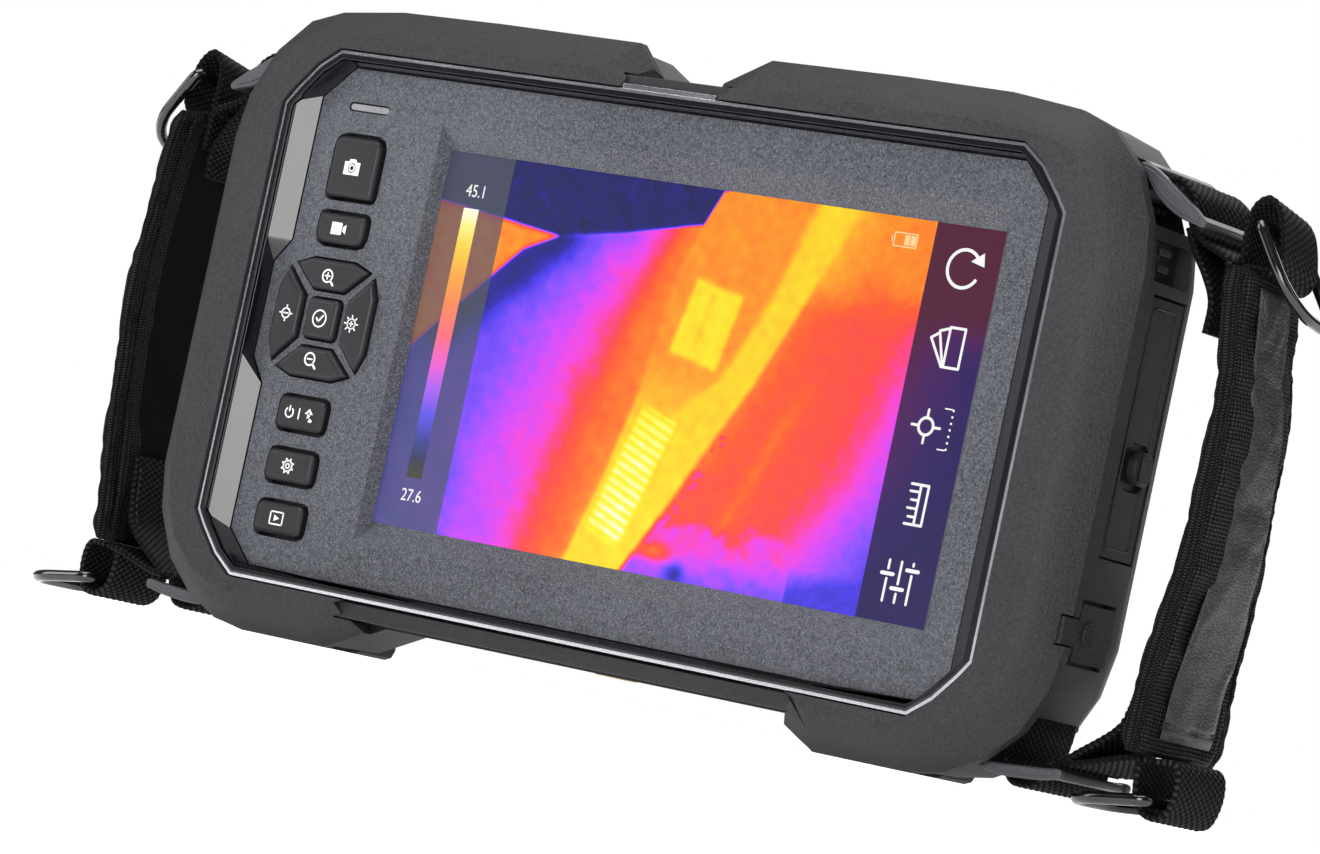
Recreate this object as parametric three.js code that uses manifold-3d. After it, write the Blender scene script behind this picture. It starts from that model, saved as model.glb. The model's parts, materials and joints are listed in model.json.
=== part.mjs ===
// Handheld thermal imaging videoscope display unit with two hand straps.
// Millimetres. X to the viewer's right, Y away from the viewer, Z up along the screen.
// The drawing frame has Y = 0 on the front panel's face and Z = 0 at the display's centre height.
// The exported group moves it so that the unit stands on Z = 0 with its box centred on the origin.
import * as THREE from "three";
import { mergeVertices } from "three/addons/utils/BufferGeometryUtils.js";
import Module from "manifold-3d";

const wasm = await Module();
wasm.setup();

// ---------------------------------------------------------------- driving dimensions
const BODY_HALF_W = 128.4;      // half width over the rubber bumpers
const BUMPER_Z_LOW = -74.5;     // lowest flat of the bumpers, which the unit stands on
const BUMPER_FRONT_Y = -5;      // front rim of the bumpers
const BUMPER_BACK_Y = 5.2;      // seam between the bumpers and the rear housing
const BACK_Y = 38;              // main back plane of the rear housing
const POD_Y = 52.4;             // back plane of the raised rear pod
const PANEL_T = 3;              // front panel thickness
const DISP_CX = 13.95;          // display centre, right of the unit's centre
const DISP_W = 155, DISP_H = 87; // visible display opening
const KEY_CX = -88.3;           // key column's centre line
const KEY_PROUD = 1.5;          // key caps stand this far out of the panel
const KEY_GAP = 0.9;            // gap round each key cap
const WEB_T = 1.4;              // webbing thickness
const WEB_Y = [9.1, 34.1];      // webbing edges (25 mm webbing)
const LOOP_Y = [11.7, 31.5];    // lower end loops, where the webbing is folded narrower
const LOOP_TOP_Y = [11.2, 27.6]; // upper end loops
const GLIDE_Y = [6.95, 36.2];   // tri-glide's outer faces
const PAD_Y = [2, 40];          // hand pad edges
const RING_WIRE_R = 1.15;       // strap ring wire radius
const FRAME_SHIFT = [4.245, -24.25, 74.5]; // drawing frame to part frame

// ---------------------------------------------------------------- helpers
const root = new THREE.Group();

function area2(p) {
  let a = 0;
  for (let i = 0; i < p.length; i++) {
    const [x0, z0] = p[i], [x1, z1] = p[(i + 1) % p.length];
    a += x0 * z1 - x1 * z0;
  }
  return a / 2;
}
const ccw = (p) => (area2(p) < 0 ? p.slice().reverse() : p.slice());

// Turns a geometry into a solid, with its faces pointing out.
function solid(geometry) {
  let g = geometry.index ? geometry.toNonIndexed() : geometry.clone();
  g = new THREE.BufferGeometry().setAttribute("position", g.getAttribute("position"));
  g = mergeVertices(g, 1e-4);
  const pos = g.attributes.position.array, idx = Array.from(g.index.array);
  const keep = [];
  let v6 = 0;
  for (let i = 0; i < idx.length; i += 3) {
    const [a, b, c] = [idx[i], idx[i + 1], idx[i + 2]];
    if (a === b || b === c || a === c) continue;
    keep.push(a, b, c);
    const A = [pos[3 * a], pos[3 * a + 1], pos[3 * a + 2]];
    const B = [pos[3 * b], pos[3 * b + 1], pos[3 * b + 2]];
    const C = [pos[3 * c], pos[3 * c + 1], pos[3 * c + 2]];
    v6 += A[0] * (B[1] * C[2] - B[2] * C[1]) - A[1] * (B[0] * C[2] - B[2] * C[0]) + A[2] * (B[0] * C[1] - B[1] * C[0]);
  }
  if (v6 < 0) for (let i = 0; i < keep.length; i += 3) [keep[i + 1], keep[i + 2]] = [keep[i + 2], keep[i + 1]];
  return new wasm.Manifold(new wasm.Mesh({ numProp: 3, vertProperties: new Float32Array(pos), triVerts: new Uint32Array(keep) }));
}

// A prism along Y from outlines in X and Z, with optional holes.
function prism(points, y0, y1, holes = []) {
  const shape = new THREE.Shape(ccw(points).map(([x, z]) => new THREE.Vector2(x, z)));
  for (const h of holes) shape.holes.push(new THREE.Path(ccw(h).reverse().map(([x, z]) => new THREE.Vector2(x, z))));
  const g = new THREE.ExtrudeGeometry(shape, { depth: y1 - y0, bevelEnabled: false, steps: 1 });
  g.rotateX(Math.PI / 2);
  g.translate(0, y1, 0);
  return solid(g);
}

// A solid through outlines with the same number of points, each [y, points].
function loft(sections) {
  const n = sections[0][1].length, v = [], f = [];
  const pts = sections.map(([y, p]) => [y, ccw(p)]);
  for (const [y, p] of pts) for (const [x, z] of p) v.push(x, y, z);
  for (let s = 0; s + 1 < pts.length; s++)
    for (let i = 0; i < n; i++) {
      const a = s * n + i, b = s * n + ((i + 1) % n), c = a + n, d = b + n;
      f.push(a, b, d, a, d, c);
    }
  const cap = (s, flip) => {
    const p2 = pts[s][1].map(([x, z]) => new THREE.Vector2(x, z));
    const rev = THREE.ShapeUtils.isClockWise(p2);
    const tri = THREE.ShapeUtils.triangulateShape(rev ? p2.slice().reverse() : p2, []);
    const at = (i) => s * n + (rev ? n - 1 - i : i);
    for (const [a, b, c] of tri) {
      const t = [at(a), at(b), at(c)];
      if (rev !== flip) f.push(t[0], t[2], t[1]);
      else f.push(t[0], t[1], t[2]);
    }
  };
  cap(0, true);
  cap(pts.length - 1, false);
  // the side faces and the caps must turn the same way round
  const first = pts[0][1];
  const sideOut = area2(first) > 0;
  if (!sideOut) {
    const sides = (pts.length - 1) * n * 6;
    for (let i = 0; i < sides; i += 3) [f[i + 1], f[i + 2]] = [f[i + 2], f[i + 1]];
    for (let i = sides; i < f.length; i += 3) [f[i + 1], f[i + 2]] = [f[i + 2], f[i + 1]];
  }
  const g = new THREE.BufferGeometry().setAttribute("position", new THREE.Float32BufferAttribute(v, 3));
  g.setIndex(f);
  return solid(g);
}

function box(x0, y0, z0, x1, y1, z1) {
  const g = new THREE.BoxGeometry(x1 - x0, y1 - y0, z1 - z0);
  g.translate((x0 + x1) / 2, (y0 + y1) / 2, (z0 + z1) / 2);
  return solid(g);
}

// A cylinder along "x", "y" or "z".
function cyl(axis, r, x, y, z, a0, a1, n = 16, r2 = r) {
  const g = new THREE.CylinderGeometry(r2, r, a1 - a0, n);
  if (axis === "x") g.rotateZ(-Math.PI / 2);
  if (axis === "z") g.rotateX(Math.PI / 2);
  const m = (a0 + a1) / 2;
  g.translate(axis === "x" ? m : x, axis === "y" ? m : y, axis === "z" ? m : z);
  return solid(g);
}

// Moves each edge of a simple outline inwards by d (outwards if d is negative).
function inset(points, d) {
  const p = ccw(points), n = p.length, out = [];
  for (let i = 0; i < n; i++) {
    const a = p[(i + n - 1) % n], b = p[i], c = p[(i + 1) % n];
    const e1 = [b[0] - a[0], b[1] - a[1]], e2 = [c[0] - b[0], c[1] - b[1]];
    const l1 = Math.hypot(...e1), l2 = Math.hypot(...e2);
    const n1 = [-e1[1] / l1, e1[0] / l1], n2 = [-e2[1] / l2, e2[0] / l2];
    const k = 1 + n1[0] * n2[0] + n1[1] * n2[1];
    out.push([b[0] + (d * (n1[0] + n2[0])) / k, b[1] + (d * (n1[1] + n2[1])) / k]);
  }
  return out;
}

// A rectangle with rounded corners; r may be one radius or [low-left, low-right, top-right, top-left].
function rrect(x0, z0, x1, z1, r, seg = 3) {
  const R = Array.isArray(r) ? r : [r, r, r, r], out = [];
  const corner = (cx, cz, rad, from) => {
    if (rad <= 0) { out.push([cx, cz]); return; }
    for (let i = 0; i <= seg; i++) {
      const t = from + (Math.PI / 2) * (i / seg);
      out.push([cx + rad * Math.cos(t), cz + rad * Math.sin(t)]);
    }
  };
  corner(x0 + R[0], z0 + R[0], R[0], Math.PI);
  corner(x1 - R[1], z0 + R[1], R[1], 1.5 * Math.PI);
  corner(x1 - R[2], z1 - R[2], R[2], 0);
  corner(x0 + R[3], z1 - R[3], R[3], Math.PI / 2);
  return out;
}

// The outline of a ribbon of thickness t along a path in X and Z.
function ribbon(path, t) {
  const n = path.length, left = [], right = [];
  for (let i = 0; i < n; i++) {
    const a = path[Math.max(i - 1, 0)], b = path[i], c = path[Math.min(i + 1, n - 1)];
    const u1 = i > 0 ? [b[0] - a[0], b[1] - a[1]] : [c[0] - b[0], c[1] - b[1]];
    const u2 = i < n - 1 ? [c[0] - b[0], c[1] - b[1]] : u1;
    const l1 = Math.hypot(...u1), l2 = Math.hypot(...u2);
    const n1 = [-u1[1] / l1, u1[0] / l1], n2 = [-u2[1] / l2, u2[0] / l2];
    const k = Math.max(0.6, 1 + n1[0] * n2[0] + n1[1] * n2[1]);
    const m = [(n1[0] + n2[0]) / k, (n1[1] + n2[1]) / k];
    left.push([b[0] + (t / 2) * m[0], b[1] + (t / 2) * m[1]]);
    right.push([b[0] - (t / 2) * m[0], b[1] - (t / 2) * m[1]]);
  }
  return left.concat(right.reverse());
}

// A round wire bent into a closed planar outline. path: 3D points, normal: the plane's normal.
function wireLoop(path, normal, r, sides = 8) {
  const n = path.length, v = [], f = [];
  const N = normal.clone().normalize();
  for (let i = 0; i < n; i++) {
    const t = path[(i + 1) % n].clone().sub(path[(i + n - 1) % n]).normalize();
    const b = N.clone().cross(t).normalize();
    for (let k = 0; k < sides; k++) {
      const a = (2 * Math.PI * k) / sides;
      const p = path[i].clone().addScaledVector(N, r * Math.cos(a)).addScaledVector(b, r * Math.sin(a));
      v.push(p.x, p.y, p.z);
    }
  }
  for (let i = 0; i < n; i++)
    for (let k = 0; k < sides; k++) {
      const a = i * sides + k, b = i * sides + ((k + 1) % sides);
      const c = ((i + 1) % n) * sides + k, d = ((i + 1) % n) * sides + ((k + 1) % sides);
      f.push(a, b, d, a, d, c);
    }
  const g = new THREE.BufferGeometry().setAttribute("position", new THREE.Float32BufferAttribute(v, 3));
  g.setIndex(f);
  return solid(g);
}

const flipX = (p, s) => p.map(([x, z]) => [s * x, z]);
const join = (list) => list.reduce((a, b) => a.add(b));
const cut = (a, list) => list.reduce((x, b) => x.subtract(b), a);

const FINISH = {
  rubber: [0x3a3b3e, 0.85, 0], panel: [0x5b5c61, 0.6, 0], key: [0x303135, 0.5, 0], gloss: [0x0a0b0d, 0.08, 0],
  chrome: [0xd9dce0, 0.15, 1], plastic: [0x37383b, 0.65, 0], glass: [0x06070a, 0.05, 0], board: [0x14502e, 0.6, 0],
  steel: [0x8a8d92, 0.35, 1], brass: [0xb0904c, 0.35, 1], battery: [0x26272b, 0.6, 0], silicone: [0x222326, 0.9, 0],
  webbing: [0x0e0f11, 0.95, 0], fabric: [0x121315, 0.95, 0], leather: [0x3c3e42, 0.5, 0], ringmetal: [0x101114, 0.25, 0.8],
  buckle: [0x34363a, 0.6, 0], seal: [0x141416, 0.9, 0],
};

function add(name, manifold, finish, parent = root) {
  const m = manifold.getMesh(), n = m.numProp, v = new Float32Array(m.numVert * 3);
  for (let i = 0; i < m.numVert; i++) v.set(m.vertProperties.subarray(i * n, i * n + 3), i * 3);
  const g = new THREE.BufferGeometry().setAttribute("position", new THREE.BufferAttribute(v, 3));
  g.setIndex(new THREE.BufferAttribute(m.triVerts, 1));
  g.computeVertexNormals();
  const [color, roughness, metalness] = FINISH[finish];
  const mesh = new THREE.Mesh(g, new THREE.MeshStandardMaterial({ color, roughness, metalness }));
  mesh.name = name;
  parent.add(mesh);
  return mesh;
}

// ---------------------------------------------------------------- outlines of the front
const PANEL = [[-94.3, -59.5], [94.9, -59.5], [102.4, -51.6], [102.4, 51.6], [94.9, 59.4], [-94.3, 59.4], [-102.4, 51.6],
  [-102.4, 17.3], [-106.6, 11.8], [-106.6, -11.0], [-102.4, -17.0], [-102.4, -51.6]];
const RING_OUT = [[-96.4, -62.6], [96.4, -62.6], [102.2, -58.4], [107.4, -52.6], [110.2, -48.8], [110.2, 48.8], [107.4, 52.6],
  [102.2, 58.6], [96.4, 62.7], [-96.4, 62.7], [-102.2, 58.6], [-107.4, 52.6], [-110.2, 48.8], [-110.2, -48.8], [-107.4, -52.6], [-102.2, -58.4]];
const RING_IN = inset(RING_OUT, 2.0);
// Outer line of the bumpers and the rear housing.
const BODY = [
  [-113, -68.6], [-104, -73.0], [-95, -74.5], [-70, -74.5], [-56, -68.2], [58, -68.2], [70, -74.5], [95, -74.5], [104, -73.0], [113, -68.6],
  [121, -61.4], [126.2, -51.5], [128.4, -40], [128.4, 40], [126.6, 51.0], [121.4, 61.6], [113, 69.4], [104, 72.4], [86, 74.2], [57, 74.5], [21, 74.2], [8.2, 67.2],
  [-9.4, 67.2], [-21.6, 74.2], [-57, 74.5], [-86, 74.2], [-104, 72.4], [-113, 69.4], [-121.4, 61.6], [-126.6, 51.0], [-128.4, 40], [-128.4, -40], [-126.2, -51.5], [-121, -61.4],
];

// ---------------------------------------------------------------- front panel
const dispSlope = loft([[-0.4, rrect(DISP_CX - 79.9, -49.8, DISP_CX + 80.3, 50.0, 0, 1)], [PANEL_T + 0.2, rrect(DISP_CX - 77.5, -43.5, DISP_CX + 77.5, 43.5, 0, 1)]]);
const CAPTURE = rrect(-95.2, 28.9, -81.2, 43.3, [1.0, 1.0, 2.4, 2.4], 2);
const VIDEO = rrect(-95.2, 17.9, -81.2, 24.9, [2.2, 2.2, 1.0, 1.0], 2);
const POWER = rrect(-95.2, -26.4, -81.2, -19.0, 1.4, 2);
const SETTINGS = rrect(-95.2, -38.8, -81.2, -31.5, 1.4, 2);
const PLAYBACK = rrect(-95.2, -51.1, -81.2, -43.9, 1.4, 2);
const c = KEY_CX;
const PAD_UP = [[c - 4.6, 6.8], [c + 4.6, 6.8], [c + 10.9, 12.3], [c + 6.2, 14.0], [c - 6.2, 14.0], [c - 10.9, 12.3]];
const PAD_DOWN = PAD_UP.map(([x, z]) => [x, -z]);
const PAD_RIGHT = [[c + 6.6, -4.9], [c + 12.7, -11.0], [c + 14.6, -6.4], [c + 14.6, 6.4], [c + 12.7, 11.0], [c + 6.6, 4.9]];
const PAD_LEFT = PAD_RIGHT.map(([x, z]) => [2 * c - x, z]);
const PAD_OK = rrect(c - 4.8, -4.8, c + 4.8, 4.8, 1.2, 2);
const KEYS = [
  ["key_capture", CAPTURE, 1], ["key_video", VIDEO, 1], ["key_zoom_in", PAD_UP, 0], ["key_target", PAD_LEFT, 0],
  ["key_ok", PAD_OK, 0], ["key_brightness", PAD_RIGHT, 0], ["key_zoom_out", PAD_DOWN, 0],
  ["key_power_back", POWER, 1], ["key_settings", SETTINGS, 1], ["key_playback", PLAYBACK, 1],
];
const keyHole = (outline, wide) => prism(inset(outline, wide ? -KEY_GAP : -0.42), -1, PANEL_T + 1);
const LIGHT = rrect(-94.0, 49.6, -82.4, 51.2, 0.7, 2);
let panel = prism(PANEL, 0, PANEL_T);
panel = cut(panel, [dispSlope, ...KEYS.map(([, o, w]) => keyHole(o, w)), prism(inset(LIGHT, -0.3), -1, 5)]);
add("front_panel", panel, "panel");

for (const [name, outline, flanged] of KEYS) {
  let k = loft([[-KEY_PROUD, inset(outline, 0.8)], [-KEY_PROUD + 0.8, outline]]).add(prism(outline, -KEY_PROUD + 0.8, PANEL_T + 0.4));
  if (flanged) k = k.add(prism(inset(outline, -1.6), PANEL_T + 0.35, PANEL_T + 0.95));
  add(name, k, "key");
}
add("light_bar", prism(LIGHT, 0.3, PANEL_T), "glass");

// ---------------------------------------------------------------- trim and ring
const trimIn = inset(PANEL, -0.3);
const trimOut = inset(RING_OUT, 2.3);
// The trim slopes from the ring's front edge down to the panel's face.
const trimBody = prism(trimOut, -3.4, PANEL_T);
const FUNNEL = [[-95.6, -60.5], [95.9, -60.5], [107.6, -49.4], [107.6, 49.4], [95.9, 60.6], [-95.6, 60.6], [-107.6, 49.4],
  [-107.6, 17.3], [-107.6, 11.8], [-107.6, -11.0], [-107.6, -17.0], [-107.6, -49.4]];
const funnel = loft([[-3.6, FUNNEL], [-0.1, inset(PANEL, -0.35)]]);
let trim = cut(trimBody, [prism(trimIn, -4, PANEL_T + 1), funnel]);
// the panel's bulge beside the direction pad comes close to the ring, so the trim is one narrow band there
add("gloss_trim", trim, "gloss");
// in the notch between the bumpers the ring's outer flange shows as a flat band
const flange = loft([[-4.0, rrect(-13.6, 62.2, 12.6, 63.9, 0, 1)], [-2.95, rrect(-13.2, 62.2, 12.2, 63.9, 0, 1)]]);
add("chrome_ring", prism(RING_OUT, -4.2, -0.4, [RING_IN]).add(flange), "chrome");

// ---------------------------------------------------------------- front housing: the tray that carries panel, trim and ring
const RAIL = [[-76, -66.9], [76, -66.9], [80, -63.8], [96.9, -63.8], [103.2, -59.2], [108.4, -53.4], [111.4, -49.2], [111.4, 49.2], [108.4, 53.4], [103.2, 59.4], [96.9, 63.9], [80, 63.9],
  [76, 66.2], [-76, 66.2], [-80, 63.9], [-96.9, 63.9], [-103.2, 59.4], [-108.4, 53.4], [-111.4, 49.2], [-111.4, -49.2], [-108.4, -53.4], [-103.2, -59.2], [-96.9, -63.8], [-80, -63.8]];
let tray = prism(RAIL, -2.6, 5.2);
tray = cut(tray, [
  prism(inset(RING_OUT, -0.3), -5, -0.1),
  prism(inset(RING_OUT, 2.0), -1, PANEL_T + 0.3),
  prism(rrect(-105.0, -54.0, -72, 53.5, 3, 2), 2, 8),
  prism(rrect(DISP_CX - 80.5, -48.5, DISP_CX + 80.5, 48.5, 2, 2), 2, 8),
]);
add("front_housing", tray, "plastic");

// ---------------------------------------------------------------- bumpers
// The bumpers follow the body line, but the left one ends in a steeper face at the top notch.
const BUMPER = BODY.map(([x, z]) => (x === -21.6 ? [-16.2, 74.3] : [x, z]));
// the front rim follows the ring where the body line comes in at the notches
let bumperSolid = loft([[BUMPER_FRONT_Y, inset(BUMPER, 8.0)], [-3.2, inset(BUMPER, 4.6)], [2.6, BUMPER], [BUMPER_BACK_Y, BUMPER]]);
bumperSolid = cut(bumperSolid, [
  prism(inset(RING_OUT, -0.35), -8, 8),
  prism(inset(RAIL, -0.3), -2.9, 8),
]);
// the notch between the bumpers' top ends is wider at the front than at the seam
const topNotch = loft([[-9, [[-16.9, 60], [15.8, 60], [15.8, 80], [-16.9, 80]]], [9, [[-7.5, 60], [5.3, 60], [5.3, 80], [-7.5, 80]]]]);
const NOTCH_LOW = [[-56, -60], [-64, -64], [-57, -71], [-57, -80], [60, -80], [60, -71], [67, -64], [58, -60]];
bumperSolid = cut(bumperSolid, [topNotch, prism(NOTCH_LOW, -9, 9)]);
const leftHalf = box(-140, -9, -90, 0, 9, 90), rightHalf = box(0, -9, -90, 140, 9, 90);
const PLUG_Z = [-44.3, -31.7];
const tabPocket = box(125.5, 0.5, -41.6, 131, 6, -34.9);
add("bumper_left", bumperSolid.intersect(leftHalf), "rubber");
add("bumper_right", bumperSolid.intersect(rightHalf).subtract(tabPocket), "rubber");

// ---------------------------------------------------------------- rear housing
const H0 = BUMPER_BACK_Y + 0.5;
let housing = loft([[H0, inset(BODY, 0.7)], [23.5, inset(BODY, 1.2)], [29.5, inset(BODY, 4.0)], [35, inset(BODY, 9.0)], [BACK_Y, inset(BODY, 15)]]);
const POD = [[-72, -40], [-62, -52], [62, -52], [72, -40], [72, 38], [62, 50], [-62, 50], [-72, 38]];
housing = housing.add(loft([[BACK_Y - 3, inset(POD, -3.5)], [BACK_Y + 6, POD], [POD_Y - 3, inset(POD, 1.2)], [POD_Y, inset(POD, 4.2)]]));
const CAVITY = [[-98, -60], [-92, -64.5], [92, -64.5], [98, -60], [101.3, -50], [101.3, 50], [98, 60], [92, 64.6], [-92, 64.6], [-98, 60], [-101.3, 50], [-101.3, -50]];
const cavity = loft([[H0 - 1, CAVITY], [30, inset(CAVITY, 1.0)], [BACK_Y - 2.6, inset(CAVITY, 6)]]);
const podCavity = prism(inset(POD, 6), 20, POD_Y - 3);
const sideHollow = box(-124.6, H0 - 1, -42, -100, 22, 42); // hollow of the left side wall
const TOP_POCKET = [[104.0, 57.0], [104.0, 64.6], [111, 66.4], [116.2, 62.9], [118.6, 66.6], [121, 75], [145, 75], [145, 50.5], [119, 50.5], [108, 54.0]];
const LOW_POCKET = [[104.6, -58.5], [104.6, -54.0], [107, -51.4], [115.5, -51.4], [118.5, -57.2], [145, -57.2], [145, -90], [116, -90], [108.0, -66.2], [104.6, -63.0]];
const pocketY = [6.7, 35.0];
const pockets = [];
for (const s of [1, -1]) for (const P of [TOP_POCKET, LOW_POCKET]) pockets.push(prism(flipX(P, s), pocketY[0], pocketY[1]));
const PORT_BAY = [10.4, 22.2, -20.0, 34.6]; // y0, y1, z0, z1
const doorRecess = box(124.3, 9.0, -21.6, 131, 23.6, 36.1);
const bay = box(113, PORT_BAY[0] + 0.9, PORT_BAY[2], 131, PORT_BAY[1] - 0.6, PORT_BAY[3]);
const fingerRecess = join([box(123.2, 7.6, 38.6, 131, 22.6, 47.6)]);
const plugRecess = box(125.2, 4, -45.2, 131, 20.6, -30.8);
const plugSocket = box(118.6, 8.6, -42.2, 131, 18.8, -33.8);
const BATT = [-6.4, 61.2, -44, 42]; // battery bay x0, x1, z0, z1 in the pod
const coverRecess = prism(rrect(BATT[0] - 3.4, BATT[2] - 2.4, BATT[1] + 3.4, BATT[3] + 2.4, 4, 2), POD_Y - 2.5, POD_Y + 4);
const battBay = prism(rrect(BATT[0], BATT[2], BATT[1], BATT[3], 2, 1), BACK_Y - 10, POD_Y + 4);
const STAND = [-64.5, -12.6, -41, 42];
const standRecess = prism(rrect(STAND[0] - 0.8, STAND[2] - 0.8, STAND[1] + 0.8, STAND[3] + 0.8, 2.5, 2), POD_Y - 3.6, POD_Y + 4);
const standHeel = box(STAND[0] - 0.8, POD_Y - 4.9, STAND[3] - 6.5, STAND[1] + 0.8, POD_Y + 2, STAND[3] + 0.8);
const standFinger = loft([[POD_Y - 6.4, rrect(-46, -43.5, -31, -37, 1.5, 1)], [POD_Y + 1, rrect(-49, -47.5, -28, -36, 2, 1)]]);
const tripodBore = cyl("z", 5.3, 0, 22, 0, -90, -57, 16);
const probeBore = cyl("z", 7.9, 0, 21.4, 0, 54, 90, 20);
const screwAt = [[-84, 44], [84, 44], [-84, -44], [84, -44]];
const screwHoles = screwAt.map(([x, z]) => cyl("y", 3.4, x, 0, z, BACK_Y - 6, BACK_Y + 3, 12));
const SPEAKER = [-88, -20, -80, 20];
const speakerSlots = [-8, -4, 0, 4, 8].map((z) => box(-93, 20, z - 0.8, -79, BACK_Y + 2, z + 0.8));
const bosses = [
  ...screwAt.map(([x, z]) => cyl("y", 6, x, 0, z, H0 + 6, BACK_Y - 1, 12)),
  box(-9, 12, -64.0, 9, 31, -56.5), // tripod boss
  box(-11, 11, 55.5, 11, 31.4, 64.2), // probe connector boss
];
const frontRecess = prism(rrect(-103.6, -56, 103.6, 56, 2, 1), H0 - 1, 8.4);
const sealGroove = prism(inset(CAVITY, -5.9), H0 - 1, H0 + 1.3, [inset(CAVITY, -2.7)]);
const portPassage = box(100, 12.6, -19.5, 114, 20.8, 34.1);
const jackBore = cyl("x", 4.35, 0, 13.7, -38, 100, 119, 16);
housing = cut(housing, [cavity, sideHollow, frontRecess]);
// the pod is hollow only beside the battery bay's own walls and the stand's recess floor
const podHollow = prism(rrect(STAND[0] + 1, STAND[2], STAND[1] - 1, STAND[3], 2, 1), 20, POD_Y - 6.2);
housing = cut(housing, [podHollow]);
const FEET = [-1, 1].map((s) => loft([[21, flipX(rrect(73, -74.5, 93, -66, [2.5, 2.5, 0, 0], 2), s)], [33.0, flipX(rrect(73, -74.5, 93, -66, [2.5, 2.5, 0, 0], 2), s)], [35.5, flipX(rrect(75, -71.5, 91, -65, [2.5, 2.5, 0, 0], 2), s)]]));
housing = join([housing, ...bosses, ...FEET]);
const STRAP_BARS = [[108.2, 59.4], [110.6, -56.8]];
const strapBars = [];
for (const s of [1, -1]) {
  for (const [bxx, bzz] of STRAP_BARS) {
    strapBars.push(prism(flipX(octo(bxx, bzz, 1.9), s), pocketY[0] - 0.8, pocketY[1] + 1));
    strapBars.push(prism(flipX(octo(bxx, bzz, 3.6), s), pocketY[1] + 0.1, pocketY[1] + 2.0)); // lug that holds the bar's rear end
  }
}
function octo(x, z, r) {
  const out = [];
  for (let i = 0; i < 8; i++) out.push([x + r * Math.cos(Math.PI / 8 + (i * Math.PI) / 4), z + r * Math.sin(Math.PI / 8 + (i * Math.PI) / 4)]);
  return out;
}
housing = cut(housing, [sealGroove, portPassage, jackBore, ...pockets, doorRecess, bay, fingerRecess, plugRecess, plugSocket, coverRecess, battBay, standRecess, standHeel, standFinger, tripodBore, probeBore, ...screwHoles, ...speakerSlots]);
housing = join([housing, ...strapBars]);
// the wall round the strap bars closes the pocket's rear end, so each bar is held at both ends
add("rear_housing", housing, "plastic");

// ring seal between the front and rear housings
// across the notches it goes on as a thin flat gasket lower down, between the front housing's rail and the rear rim
const cord = cut(prism(inset(CAVITY, -5.5), BUMPER_BACK_Y + 0.35, H0 + 1.0, [inset(CAVITY, -3.1)]), [box(-17.0, 0, 60, 16.2, 12, 80), box(-62.5, 0, -80, 64.5, 12, -60)]);
const flat = (x0, z0, x1, z1) => box(x0, BUMPER_BACK_Y + 0.1, z0, x1, BUMPER_BACK_Y + 0.43, z1);
add("housing_seal", join([cord, flat(-19.3, 64.9, 18.5, 66.1), flat(-19.3, 64.9, -17.2, 69.5), flat(16.4, 64.9, 18.5, 69.5),
  flat(-65.0, -66.3, 67.0, -65.1), flat(-65.0, -69.6, -62.7, -65.1), flat(64.7, -69.6, 67.0, -65.1)]), "seal");

// ---------------------------------------------------------------- display and electronics stack
add("touch_glass", box(DISP_CX - 80, PANEL_T + 0.35, -46.5, DISP_CX + 80, PANEL_T + 1.45, 46.5), "glass");
add("lcd_module", box(DISP_CX - 79.5, PANEL_T + 1.8, -46, DISP_CX + 79.5, PANEL_T + 6.6, 46), "steel");
const mat = join([
  prism(rrect(-103.2, -52.6, -73.0, 52.4, 3, 2), PANEL_T + 2.1, PANEL_T + 2.9),
  ...[36, 21.4, 9.5, 0, -9.5, -22.7, -35.1, -47.5].map((z) => cyl("y", 2.2, KEY_CX, 0, z, PANEL_T + 2.5, PANEL_T + 3.4, 8)),
]);
add("keypad_mat", mat, "silicone");
add("keypad_board", prism(rrect(-103.2, -52.6, -73.0, 52.4, 1, 1), PANEL_T + 3.8, PANEL_T + 5.0), "board");
let mainBoard = box(-66, 12.2, -54, 98, 13.8, 54);
mainBoard = cut(mainBoard, [box(90, 10, 28, 100, 16, 60), cyl("y", 6.6, 84, 0, 44, 10, 16, 12), cyl("y", 6.6, 84, 0, -44, 10, 16, 12), box(84, 10, 40, 100, 16, 60), box(84, 10, -60, 100, 16, -40)]);
add("main_board", mainBoard, "board");
add("processor_shield", join([box(20, 14.1, -18, 60, 17.6, 20), box(24, 17, -14, 56, 18.6, 16)]), "steel");
let port = box(102.2, 13.0, -19.0, 116.4, 20.4, 33.6);
port = cut(port, [
  box(110, 14.4, 20.0, 118, 19.0, 31.0),
  box(108, 14.6, 3.0, 118, 18.9, 16.6),
  box(110, 15.0, -9.6, 118, 19.2, -0.4),
  cyl("x", 2.3, 0, 16.7, -14.2, 107, 118, 12),
]);
// The connector block sits behind the port bay on a daughter board.
add("port_block", port, "steel");

// ---------------------------------------------------------------- port door, its thumb latch, the catch above it
const DOOR = [9.5, 23.1, -21.1, 35.6];
let door = box(124.7, DOOR[0], DOOR[2], 126.9, DOOR[1], DOOR[3]);
const knobY = 18.4, knobZ = -0.9;
door = cut(door, [
  prismX(octoYZ(knobY - 1.4, knobZ, 6.2, 5.2), 125.7, 130),
  cyl("x", 2.2, 0, knobY, knobZ, 120, 130, 12),
  box(126.5, DOOR[0] - 1, DOOR[2] - 1, 130, DOOR[0] + 1.2, DOOR[3] + 1),
]);
add("port_door", door, "plastic");
const knob = join([
  prismX(octoYZ(knobY, knobZ, 3.6, 3.6), 126.0, 128.3),
  box(126.1, knobY - 1.2, knobZ - 3.0, 129.3, knobY + 1.2, knobZ + 3.0),
  cyl("x", 1.8, 0, knobY, knobZ, 124.2, 127, 12),
]);
add("door_latch_knob", knob, "key");
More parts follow.
